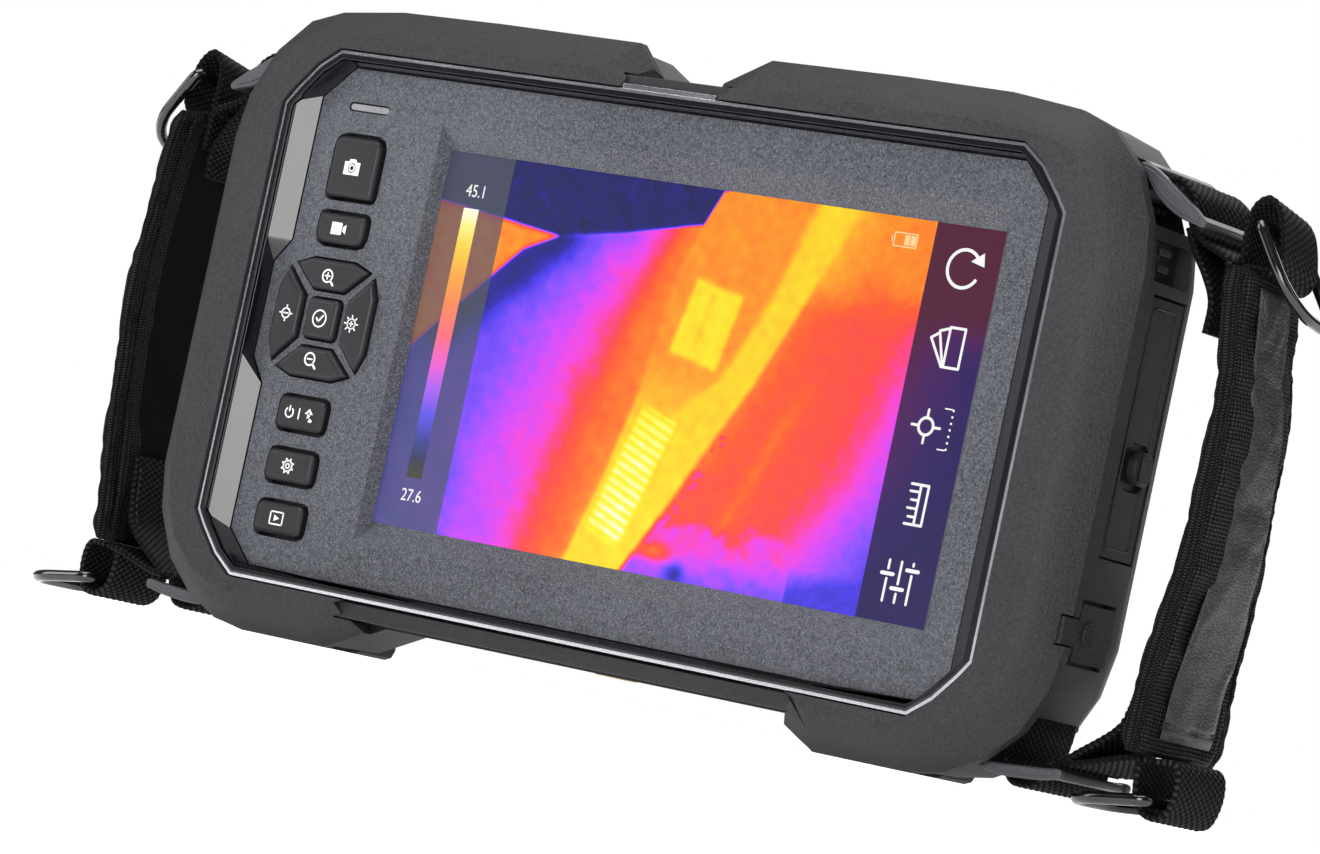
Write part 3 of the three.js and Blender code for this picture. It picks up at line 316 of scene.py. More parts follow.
def refine(o, width):
    """Rounds the edges of a CAD node with modifiers, so its own mesh stays as it is."""
    o.data.polygons.foreach_set("use_smooth", [True] * len(o.data.polygons))
    w = o.modifiers.new("weld", "WELD")
    w.merge_threshold = 2e-6
    d = o.modifiers.new("flat_faces", "DECIMATE")
    d.decimate_type = "DISSOLVE"
    d.angle_limit = math.radians(0.6)
    b = o.modifiers.new("edges", "BEVEL")
    b.width = width / 1000
    b.segments = 2
    b.limit_method = "ANGLE"
    b.angle_limit = math.radians(26)
    b.use_clamp_overlap = True
    b.harden_normals = False
    n = o.modifiers.new("normals", "WEIGHTED_NORMAL")
    n.mode = "FACE_AREA"
    n.weight = 60
    n.keep_sharp = False


def paint(o, m):
    o.data.materials.clear()
    o.data.materials.append(MAT[m] if isinstance(m, str) else m)


for name, o in NODES.items():
    if name.startswith("key_"):
        paint(o, "key")
        refine(o, 0.45)
    elif name.startswith("rear_screw"):
        paint(o, "steel")
        refine(o, 0.15)
    elif name in NODE_MAT:
        paint(o, NODE_MAT[name])
        refine(o, WIDTH.get(name, 0.2))
    else:
        paint(o, "web" if "web" in name else "leather" if "leather" in name else "fabric" if "pad" in name else "buckle" if "glide" in name else "wire")


# ------------------------------------------------------------------ mesh helpers
def new_mesh(name, verts, faces, mats, body, slot_name=None, uv=None, smooth=True, findex=None, parent_ride=True):
    me = bpy.data.meshes.new(name)
    me.from_pydata([tuple(v) for v in verts], [], [tuple(f) for f in faces])
    me.validate()
    if uv is not None:
        layer = me.uv_layers.new(name="UVMap")
        idx = np.zeros(len(me.loops), np.int32)
        me.loops.foreach_get("vertex_index", idx)
        layer.data.foreach_set("uv", np.asarray(uv, np.float32)[idx].ravel())
    for m in (mats if isinstance(mats, (list, tuple)) else [mats]):
        me.materials.append(MAT[m])
    if findex is not None:
        me.polygons.foreach_set("material_index", np.asarray(findex, np.int32))
    me.polygons.foreach_set("use_smooth", [smooth] * len(me.polygons))
    me.update()
    o = bpy.data.objects.new(name, me)
    bpy.context.scene.collection.objects.link(o)
    if parent_ride:
        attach(o, body)
    if slot_name:
        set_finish(o, slot_name)
    return o


def spline(pts, step, sub=14):
    """Points at equal steps on a smooth curve through pts (2-D, mm)."""
    p = np.array(pts, float)
    q = np.vstack([2 * p[0] - p[1], p, 2 * p[-1] - p[-2]])
    out = []
    for i in range(1, len(q) - 2):
        p0, p1, p2, p3 = q[i - 1], q[i], q[i + 1], q[i + 2]
        t0 = 0.0
        t1 = t0 + max(np.linalg.norm(p1 - p0), 1e-6) ** 0.5
        t2 = t1 + max(np.linalg.norm(p2 - p1), 1e-6) ** 0.5
        t3 = t2 + max(np.linalg.norm(p3 - p2), 1e-6) ** 0.5
        for k in range(sub):
            t = t1 + (t2 - t1) * k / sub
            a1 = (t1 - t) / (t1 - t0) * p0 + (t - t0) / (t1 - t0) * p1
            a2 = (t2 - t) / (t2 - t1) * p1 + (t - t1) / (t2 - t1) * p2
            a3 = (t3 - t) / (t3 - t2) * p2 + (t - t2) / (t3 - t2) * p3
            b1 = (t2 - t) / (t2 - t0) * a1 + (t - t0) / (t2 - t0) * a2
            b2 = (t3 - t) / (t3 - t1) * a2 + (t - t1) / (t3 - t1) * a3
            out.append((t2 - t) / (t2 - t1) * b1 + (t - t1) / (t2 - t1) * b2)
    out.append(p[-1])
    out = np.array(out)
    L = np.concatenate([[0], np.cumsum(np.linalg.norm(np.diff(out, axis=0), axis=1))])
    n = max(2, int(round(L[-1] / step)) + 1)
    s = np.linspace(0, L[-1], n)
    return np.stack([np.interp(s, L, out[:, 0]), np.interp(s, L, out[:, 1])], 1), s


def normals(p):
    t = np.gradient(p, axis=0)
    t /= np.linalg.norm(t, axis=1)[:, None]
    return np.stack([-t[:, 1], t[:, 0]], 1)


def flip(x, side):
    return x if side > 0 else -x


def webbing(name, pts, y0, y1, side, thick=1.5, body="unit", step=0.30, vstep=0.25, relief=0.20, ysplay=None):
    """A strap of ribbed webbing that follows a line in X and Z."""
    p, s = spline(pts, step)
    n = normals(p)
    ny = max(8, int((y1 - y0) / vstep))
    eta = np.linspace(0, 1, ny)
    yy = y0 + (y1 - y0) * eta
    edge = np.minimum(eta, 1 - eta) * (y1 - y0)
    half = thick / 2 * np.sqrt(np.clip(1 - np.clip(1 - edge / 0.8, 0, 1) ** 2, 0.02, 1))
    pv, pu = 1.15, 1.5
    col = np.floor(yy / pv)
    def h(u, y, ph):
        b = np.abs(np.sin(np.pi * y / pv)) ** 0.7
        c = 0.55 + 0.45 * np.cos(2 * np.pi * (u / pu + 0.5 * (np.floor(y / pv) % 2) + ph))
        return b * c
    U, Y = np.meshgrid(s, yy, indexing="ij")
    end = np.clip(np.minimum(s, s[-1] - s) / 0.8, 0, 1)[:, None]
    top = half[None] + relief * (h(U, Y, 0) - 0.45) * np.clip(edge / 0.9, 0.25, 1)[None] * end
    bot = half[None] + relief * (h(U, Y, 0.5) - 0.45) * np.clip(edge / 0.9, 0.25, 1)[None] * end
    # the selvedges bulge in and out with each rib
    wav = 0.16 * np.cos(2 * np.pi * U / pu) * np.clip(1 - edge / 1.2, 0, 1)[None] * np.sign(eta - 0.5)[None]
    Yw = Y + wav
    X1, Z1 = p[:, 0:1] + n[:, 0:1] * top, p[:, 1:2] + n[:, 1:2] * top
    X2, Z2 = p[:, 0:1] - n[:, 0:1] * bot, p[:, 1:2] - n[:, 1:2] * bot
    A = np.stack([flip(X1, side), Yw, Z1], -1)
    B = np.stack([flip(X2, side), Yw, Z2], -1)[:, ::-1]
    loop = np.concatenate([A, B], 1)
    ns, m = loop.shape[:2]
    verts = DA(loop.reshape(-1, 3))
    uv = np.stack([np.repeat(s, m), np.concatenate([Yw, Yw[:, ::-1]], 1).ravel()], 1) / 1000
    i, j = np.meshgrid(np.arange(ns - 1), np.arange(m), indexing="ij")
    a = (i * m + j).ravel(); b = (i * m + (j + 1) % m).ravel(); c = ((i + 1) * m + (j + 1) % m).ravel(); d = ((i + 1) * m + j).ravel()
    q = np.stack([a, b, c, d], 1) if side > 0 else np.stack([d, c, b, a], 1)
    faces = q.tolist()
    for base, rev in ((0, side > 0), ((ns - 1) * m, side < 0)):
        for k in range(ny - 1):
            f = [base + k, base + k + 1, base + m - 2 - k, base + m - 1 - k]
            faces.append(f[::-1] if rev else f)
    return new_mesh(name, verts, faces, "web", body, "webbing", uv)


def pillow(P, N, W, U, V, side):
    """Closed form from a grid of centre points P, unit normals N (both nu,nv,3) and half thicknesses W=(out, in); the rim is shared."""
    nu, nv = P.shape[:2]
    out = P + N * W[0][..., None]
    inn = P - N * W[1][..., None]
    rim = np.zeros((nu, nv), bool)
    rim[0] = rim[-1] = True
    rim[:, 0] = rim[:, -1] = True
    io = np.arange(nu * nv).reshape(nu, nv)
    ii = io.copy()
    inner = ~rim
    ii[inner] = nu * nv + np.arange(inner.sum())
    verts = np.concatenate([out.reshape(-1, 3), inn[inner]])
    verts[io[rim]] = ((out + inn) / 2)[rim]
    uv = np.concatenate([np.stack([U, V], -1).reshape(-1, 2), np.stack([U, V], -1)[inner]])
    fo, fi = [], []
    for a in range(nu - 1):
        for b in range(nv - 1):
            q = [io[a, b], io[a + 1, b], io[a + 1, b + 1], io[a, b + 1]]
            r = [ii[a, b], ii[a, b + 1], ii[a + 1, b + 1], ii[a + 1, b]]
            fo.append(q if side > 0 else q[::-1])
            fi.append(r if side > 0 else r[::-1])
    return verts, fo, fi, uv, io, ii, rim


def puff(o, pins, cap, pressure, shrink=0.0, frames=20, bend=0.4):
    """Swells a closed mesh as stuffed cloth: pinned vertices stay, the others move at most cap metres. The result is left in the mesh."""
    me = o.data
    start = np.zeros(len(me.vertices) * 3, np.float32)
    me.vertices.foreach_get("co", start)
    start = start.reshape(-1, 3).astype(float)
    g = o.vertex_groups.new(name="pins")
    g.add([int(i) for i in pins], 1.0, "REPLACE")
    c = o.modifiers.new("cloth", "CLOTH")
    st = c.settings
    st.quality = 6
    st.mass = 0.15
    st.tension_stiffness = st.compression_stiffness = 18
    st.shear_stiffness = 8
    st.bending_stiffness = bend
    st.use_pressure = True
    st.uniform_pressure_force = pressure
    st.vertex_group_mass = "pins"
    st.shrink_min = shrink
    st.effector_weights.gravity = 0
    c.point_cache.frame_start, c.point_cache.frame_end = 1, frames
    sc = bpy.context.scene
    for f in range(1, frames + 1):
        sc.frame_set(f)
    dg = bpy.context.evaluated_depsgraph_get()
    ev = o.evaluated_get(dg)
    got = np.zeros(len(ev.data.vertices) * 3, np.float32)
    ev.data.vertices.foreach_get("co", got)
    got = got.reshape(-1, 3).astype(float)
    o.modifiers.remove(c)
    o.vertex_groups.clear()
    sc.frame_set(1)
    mv = got - start
    ln = np.linalg.norm(mv, axis=1)
    mv *= np.minimum(1, cap / np.maximum(ln, 1e-9))[:, None]
    mv[~np.isfinite(mv).all(1)] = 0
    me.vertices.foreach_set("co", (start + mv).astype(np.float32).ravel())
    me.update()


# ------------------------------------------------------------------ strap shapes
PADC = [[146.5, -61.0], [147.0, -50], [148.6, -37], [150.8, -20], [151.8, -4], [152.0, 8], [151.2, 22], [149.6, 35], [148.3, 45.0]]
PAD_Y = (2.0, 40.0)
WEB_Y = (9.1, 34.1)
LOOP_Y = (11.7, 31.5)
LOOP_TOP_Y = (11.2, 27.6)
GLIDE_Y = (6.95, 36.2)
RING_LEN = 20.5
_c, _s = spline(PADC, 0.25)
_n = -normals(_c)                      # points outwards, +X on the right side
PAD_LEN = _s[-1]


def on_pad(s, y, t):
    """Point at arc length s (0 at the lower end), depth y, t mm outside the pad's middle."""
    x = np.interp(s, _s, _c[:, 0]) + np.interp(s, _s, _n[:, 0]) * t
    z = np.interp(s, _s, _c[:, 1]) + np.interp(s, _s, _n[:, 1]) * t
    return np.stack([x, np.broadcast_to(y, np.shape(x)), z], -1)


def mirrored(o, name, side, slot_name, body="unit"):
    """A copy of a right-side mesh for the left side."""
    me = o.data.copy()
    me.name = name
    co = np.zeros(len(me.vertices) * 3, np.float32)
    me.vertices.foreach_get("co", co)
    co = co.reshape(-1, 3)
    co[:, 0] = 2 * OFF[0] / 1000 - co[:, 0]
    me.vertices.foreach_set("co", co.ravel())
    me.flip_normals()
    me.update()
    q = bpy.data.objects.new(name, me)
    bpy.context.scene.collection.objects.link(q)
    for m in o.modifiers:
        if m.type == "SUBSURF":
            k = q.modifiers.new(m.name, "SUBSURF")
            k.levels = k.render_levels = m.render_levels
    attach(q, body)
    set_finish(q, slot_name)
    return q


SEAM_F, SEAM_R = 6.6, 36.4             # inner edges of the binding tape, Y


def rear_scale(s):
    """The pad's rear part is deeper at the lower end and shallower at the top."""
    return (np.interp(s / PAD_LEN, [0, .12, .3, .5, .8, 1], [42.8, 42.0, 38.4, 34.8, 32.6, 31.8]) - 21) / (PAD_Y[1] - 21)


def squeeze(y, s):
    return np.where(y > 21, 21 + (y - 21) * rear_scale(s), y)


def unsqueeze(y, s):
    return np.where(y > 21, 21 + (y - 21) / rear_scale(s), y)


def bake_subsurf(o, levels):
    m = o.modifiers.new("smooth", "SUBSURF")
    m.levels = m.render_levels = levels
    m.uv_smooth = "PRESERVE_CORNERS"
    bpy.context.view_layer.update()
    dg = bpy.context.evaluated_depsgraph_get()
    me = bpy.data.meshes.new_from_object(o.evaluated_get(dg), preserve_all_data_layers=True, depsgraph=dg)
    o.modifiers.remove(m)
    old = o.data
    o.data = me
    bpy.data.meshes.remove(old)


def co_of(o):
    co = np.zeros(len(o.data.vertices) * 3, np.float32)
    o.data.vertices.foreach_get("co", co)
    return co.reshape(-1, 3).astype(float)


def pad_piece():
    nu, nv = 58, 24
    s = np.linspace(0, PAD_LEN, nu)
    # the fold lines of the binding fall on grid rows
    y = np.concatenate([np.linspace(PAD_Y[0], SEAM_F, 4), np.linspace(SEAM_F, SEAM_R, nv - 6)[1:], np.linspace(SEAM_R, PAD_Y[1], 4)[1:]])
    nv = len(y)
    S, Y = np.meshgrid(s, y, indexing="ij")
    eta = (Y - PAD_Y[0]) / (PAD_Y[1] - PAD_Y[0])
    zeta = S / PAD_LEN
    # rounded corners: the rim draws in near both ends
    ce = np.clip(1 - np.minimum(S, PAD_LEN - S) / 5.0, 0, 1)
    Yr = 21 + (Y - 21) * (1 - 0.10 * ce ** 2)
    # the long edges run slightly in and out
    Yr = Yr + 0.35 * np.sin(S * 0.17 + 0.6) * np.abs(2 * eta - 1) ** 3
    body = (1 - np.abs(2 * eta - 1) ** 7) ** 0.5 * (1 - np.abs(2 * zeta - 1) ** 26) ** 0.5
    pinch = 0.55 * (np.exp(-((Y - SEAM_F) / 0.9) ** 2) + np.exp(-((Y - SEAM_R) / 0.9) ** 2))
    to = (2.35 + 0.25 * np.sin(np.pi * eta)) * body * (1 - pinch * 0.5)
    ti = (2.35) * body * (1 - pinch * 0.35)
    Yr = squeeze(Yr, S)
    P = DA(on_pad(S, Yr, 0.0)); P[..., 1] = (Yr + OFF[1]) / 1000
    nx = np.interp(S, _s, _n[:, 0]); nz = np.interp(S, _s, _n[:, 1])
    N = np.stack([nx, np.zeros_like(nx), nz], -1)
    verts, fo, fi, uv, io, ii, rim = pillow(P, N, (to / 1000, ti / 1000), S / 1000, Y / 1000, 1)
    mid = (y[:-1] + y[1:]) / 2
    tape = (mid < SEAM_F) | (mid > SEAM_R)
    idx = [1 if tape[k % (nv - 1)] else 0 for k in range(len(fo))] + [1 if tape[k % (nv - 1)] or mid[k % (nv - 1)] < 11.4 else 2 for k in range(len(fi))]
    o = new_mesh("pad_right", verts, fo + fi, ["fabric", "binding", "lining"], "unit", "strap_fabric", uv, findex=idx, parent_ride=False)
    pins = set(io[rim].tolist())
    for k, yy in enumerate(y):
        if min(abs(yy - SEAM_F), abs(yy - SEAM_R)) < 0.3:
            pins |= set(io[:, k].tolist()) | set(ii[:, k].tolist())
    puff(o, pins, 0.0010, 4.0, shrink=-0.045)
    bake_subsurf(o, 2)
    # sewn grooves, ridges of the folded tape, and slow unevenness of hand-sewn cloth
    co = co_of(o) * 1000 - OFF
    k = np.argmin(((co[:, None, [0, 2]] - _c[None, ::6]) ** 2).sum(-1), axis=1) * 6
    nrm = _n[k]
    off = ((co[:, [0, 2]] - _c[k]) * nrm).sum(1)
    sgn = np.sign(off)
    ss = _s[k]
    yv = unsqueeze(co[:, 1], ss)
    rimy = np.minimum(yv - PAD_Y[0], PAD_Y[1] - yv)
    d = -0.42 * np.exp(-((yv - SEAM_F) / 0.34) ** 2) - 0.42 * np.exp(-((yv - SEAM_R) / 0.34) ** 2)
    d += 0.10 * np.sin(ss * 2.2 + 1.3 * np.sin(yv)) * np.exp(-((yv - SEAM_F) / 2.2) ** 2)
    d += 0.10 * np.sin(ss * 2.0 + 0.7 + 1.1 * np.sin(yv)) * np.exp(-((yv - SEAM_R) / 2.2) ** 2)
    d += 0.16 * np.sin(ss * 0.31 + yv * 0.12) * np.sin(yv * 0.21 + 0.5)
    d -= 0.35 * np.exp(-((ss - 5.2) / 0.5) ** 2) + 0.35 * np.exp(-((ss - PAD_LEN + 5.2) / 0.5) ** 2)
    d *= np.clip(rimy / 1.2, 0, 1) * np.clip(np.abs(off) / 1.0, 0, 1)
    co[:, 0] += nrm[:, 0] * d * sgn
    co[:, 2] += nrm[:, 1] * d * sgn
    o.data.vertices.foreach_set("co", DA(co).astype(np.float32).ravel())
    o.data.polygons.foreach_set("use_smooth", [True] * len(o.data.polygons))
    o.data.update()
    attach(o, "unit")
    return o


def leather_piece():
    nu, nv = 60, 18
    s0, s1 = 3.8, PAD_LEN - 3.8
    s = np.linspace(s0, s1, nu)
    v = np.linspace(0, 1, nv)
    S, V = np.meshgrid(s, v, indexing="ij")
    z = (S - s0) / (s1 - s0)
    yf = np.interp(z, [0, .12, .3, .5, .7, .86, 1.0], [11.8, 11.7, 12.2, 12.8, 12.2, 11.4, 11.2])
    yr = np.interp(z, [0, .1, .3, .5, .68, .80, .90, 1.0], [33.6, 33.8, 32.2, 29.6, 27.2, 25.2, 24.2, 23.6])
    yf = yf + 0.25 * np.sin(S * 0.21)
    yr = yr + 0.15 * np.sin(S * 0.27 + 1.0)
    Y = yf + (yr - yf) * V
    dome = (1 - np.abs(2 * V - 1) ** 3.2) ** 0.62 * (1 - np.abs(2 * z - 1) ** 40) ** 0.5
    h = 2.0 * dome
    P = DA(on_pad(S, Y, 2.7)); P[..., 1] = (Y + OFF[1]) / 1000
    nx = np.interp(S, _s, _n[:, 0]); nz = np.interp(S, _s, _n[:, 1])
    N = np.stack([nx, np.zeros_like(nx), nz], -1)
    verts, fo, fi, uv, io, ii, rim = pillow(P, N, (h / 1000, 0.7 * dome / 1000), S / 1000, Y / 1000, 1)
    o = new_mesh("leather_right", verts, fo + fi, ["leather"], "unit", "strap_leather", uv, parent_ride=False)
    inner = set(np.arange(nu * nv, len(verts)).tolist())
    puff(o, set(io[rim].tolist()) | inner, 0.0006, 3.0, shrink=-0.010)
    bake_subsurf(o, 2)
    co = co_of(o) * 1000 - OFF
    k = np.argmin(((co[:, None, [0, 2]] - _c[None, ::6]) ** 2).sum(-1), axis=1) * 6
    nrm = _n[k]
    off = ((co[:, [0, 2]] - _c[k]) * nrm).sum(1)
    ss, yv = _s[k], co[:, 1]
    up = np.clip((off - 2.6) / 0.8, 0, 1)
    # a pinch where the hand squeezes it, fine creases across, and the flattened stitched lower end
    d = -0.55 * np.exp(-((ss - PAD_LEN * 0.80) / 5.5) ** 2)
    d += 0.03 * np.sin(ss * 0.9 + 0.8 * np.sin(yv * 0.5))
    d -= np.clip((s0 + 3.4 - ss) / 3.0, 0, 1) * np.clip(off - 3.0, 0, None) * 0.55
    d -= 0.55 * np.exp(-((ss - s0 - 3.6) / 0.42) ** 2)
    co[:, 0] += nrm[:, 0] * d * up
    co[:, 2] += nrm[:, 1] * d * up
    o.data.vertices.foreach_set("co", DA(co).astype(np.float32).ravel())
    o.data.polygons.foreach_set("use_smooth", [True] * len(o.data.polygons))
    o.data.update()
    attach(o, "unit")
    return o


def stitches(name, points, tang, nrm, length=1.6, r=0.22, slot_name="webbing", body="unit"):
    """Short rounded thread stitches lying at points (mm), along tang, each standing a little off the surface."""
    verts, faces = [], []
    for p, t, n in zip(points, tang, nrm):
        p, t, n = np.array(p, float), np.array(t, float), np.array(n, float)
        t /= np.linalg.norm(t); n -= t * (n @ t); n /= np.linalg.norm(n)
        b = np.cross(t, n)
        base = len(verts)
        K, M = 7, 8
        for i in range(K):
            a = -1 + 2 * i / (K - 1)
            rad = r * max(0.12, (1 - a * a) ** 0.5) * (1.0 if abs(a) < 1 else 0.3)
            c = p + t * a * length / 2 + n * (r * 0.55 * (1 - a * a))
            for j in range(M):
                th = 2 * math.pi * j / M
                verts.append(c + rad * (math.cos(th) * n + math.sin(th) * b))
        for i in range(K - 1):
            for j in range(M):
                faces.append([base + i * M + j, base + i * M + (j + 1) % M, base + (i + 1) * M + (j + 1) % M, base + (i + 1) * M + j][::-1])
        faces.append([base + j for j in range(M)])
        faces.append([base + (K - 1) * M + j for j in range(M)][::-1])
    return new_mesh(name, DA(np.array(verts)), faces, "thread", body, slot_name)


pad_r = pad_piece()
leather_r = leather_piece()
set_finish(pad_r, "strap_fabric")
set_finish(leather_r, "strap_leather")
pad_l = mirrored(pad_r, "pad_left", -1, "strap_fabric")
leather_l = mirrored(leather_r, "leather_left", -1, "strap_leather")
for a, b in ((pad_r, "strap_pad_right"), (pad_l, "strap_pad_left"), (leather_r, "strap_leather_right"), (leather_l, "strap_leather_left")):
    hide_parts(b)


def local(top):
    C = np.array([128.2, 57.6] if top else [119.9, -69.0])
    a = math.radians(-32 if top else 4)
    U = np.array([math.cos(a), math.sin(a)])
    V = np.array([-U[1], U[0]]) if top else np.array([U[1], -U[0]])
    return lambda u, v: (C + u * U + v * V).tolist()


def solid_prism(name, outline, y0, y1, side, mat, slot_name, body, bevel=0.35, seg=3):
    """A plate from an outline in X and Z, between two depths, with rounded edges (bevel in mm)."""
    pts = [(flip(x, side), z) for x, z in outline]
    area = sum(pts[i][0] * pts[(i + 1) % len(pts)][1] - pts[(i + 1) % len(pts)][0] * pts[i][1] for i in range(len(pts)))
    if area < 0:
        pts = pts[::-1]
    n = len(pts)
    verts = [D(x, y0, z) for x, z in pts] + [D(x, y1, z) for x, z in pts]
    faces = [list(range(n)), [n + i for i in range(n)][::-1]] + [[i, n + i, n + (i + 1) % n, (i + 1) % n] for i in range(n)]
    o = new_mesh(name, verts, faces, mat, body, slot_name)
    b = o.modifiers.new("edges", "BEVEL")
    b.width, b.segments, b.limit_method, b.angle_limit = bevel / 1000, seg, "ANGLE", math.radians(35)
    w = o.modifiers.new("normals", "WEIGHTED_NORMAL")
    w.mode, w.weight = "FACE_AREA", 60
    return o


def round_outline(pts, step=0.4):
    """The outline through pts, smoothed and closed."""
    p = np.array(pts + pts[:1], float)
    q, _ = spline(p.tolist(), step)
    return q[:-1].tolist()


def joined(objs, name):
    """Applies modifiers and joins pieces into one mesh object with the first one's body and slot."""
    dg = bpy.context.evaluated_depsgraph_get()
    bm = bmesh.new()
    for o in objs:
        me = bpy.data.meshes.new_from_object(o.evaluated_get(dg))
        bm.from_mesh(me)
        bpy.data.meshes.remove(me)
    me = bpy.data.meshes.new(name)
    bm.to_mesh(me)
    bm.free()
    me.materials.append(objs[0].data.materials[0])
    me.polygons.foreach_set("use_smooth", [True] * len(me.polygons))
    body, sl = objs[0]["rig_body"], objs[0].get("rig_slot")
    for o in objs:
        bpy.data.objects.remove(o)
    o = bpy.data.objects.new(name, me)
    bpy.context.scene.collection.objects.link(o)
    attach(o, body)
    if sl:
        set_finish(o, sl)
    w = o.modifiers.new("normals", "WEIGHTED_NORMAL")
    w.mode, w.weight = "FACE_AREA", 60
    return o


def wire_loop(name, pts, r, mat, slot_name, body, m=18):
    """A closed wire along 3-D points (mm)."""
    p = np.array(pts, float)
    n = len(p)
    t = np.roll(p, -1, 0) - np.roll(p, 1, 0)
    t /= np.linalg.norm(t, axis=1)[:, None]
    pn = np.cross(p[n // 4] - p[0], p[n // 2] - p[0]); pn /= np.linalg.norm(pn)
    b = np.cross(t, pn)
    b /= np.linalg.norm(b, axis=1)[:, None]
    th = np.linspace(0, 2 * math.pi, m, endpoint=False)
    v = p[:, None] + r * (np.cos(th)[None, :, None] * b[:, None] + np.sin(th)[None, :, None] * pn)
    i, j = np.meshgrid(np.arange(n), np.arange(m), indexing="ij")
    q = np.stack([(i * m + j).ravel(), (i * m + (j + 1) % m).ravel(), (((i + 1) % n) * m + (j + 1) % m).ravel(), (((i + 1) % n) * m + j).ravel()], 1).tolist()
    o = new_mesh(name, DA(v.reshape(-1, 3)), q, mat, body, slot_name)
    bm = bmesh.new(); bm.from_mesh(o.data); bmesh.ops.recalc_face_normals(bm, faces=bm.faces); bm.to_mesh(o.data); bm.free()
    return o


def rounded_rect(x0, y0, x1, y1, radii, k=10):
    cs = [(x0 + radii[0], y0 + radii[0], radii[0], math.pi), (x1 - radii[1], y0 + radii[1], radii[1], 1.5 * math.pi),
          (x1 - radii[2], y1 - radii[2], radii[2], 0.0), (x0 + radii[3], y1 - radii[3], radii[3], 0.5 * math.pi)]
    pts = []
    for cx, cy, r, a0 in cs:
        for i in range(k + 1):
            a = a0 + math.pi / 2 * i / k
            pts.append((cx + r * math.cos(a), cy + r * math.sin(a)))
    return pts


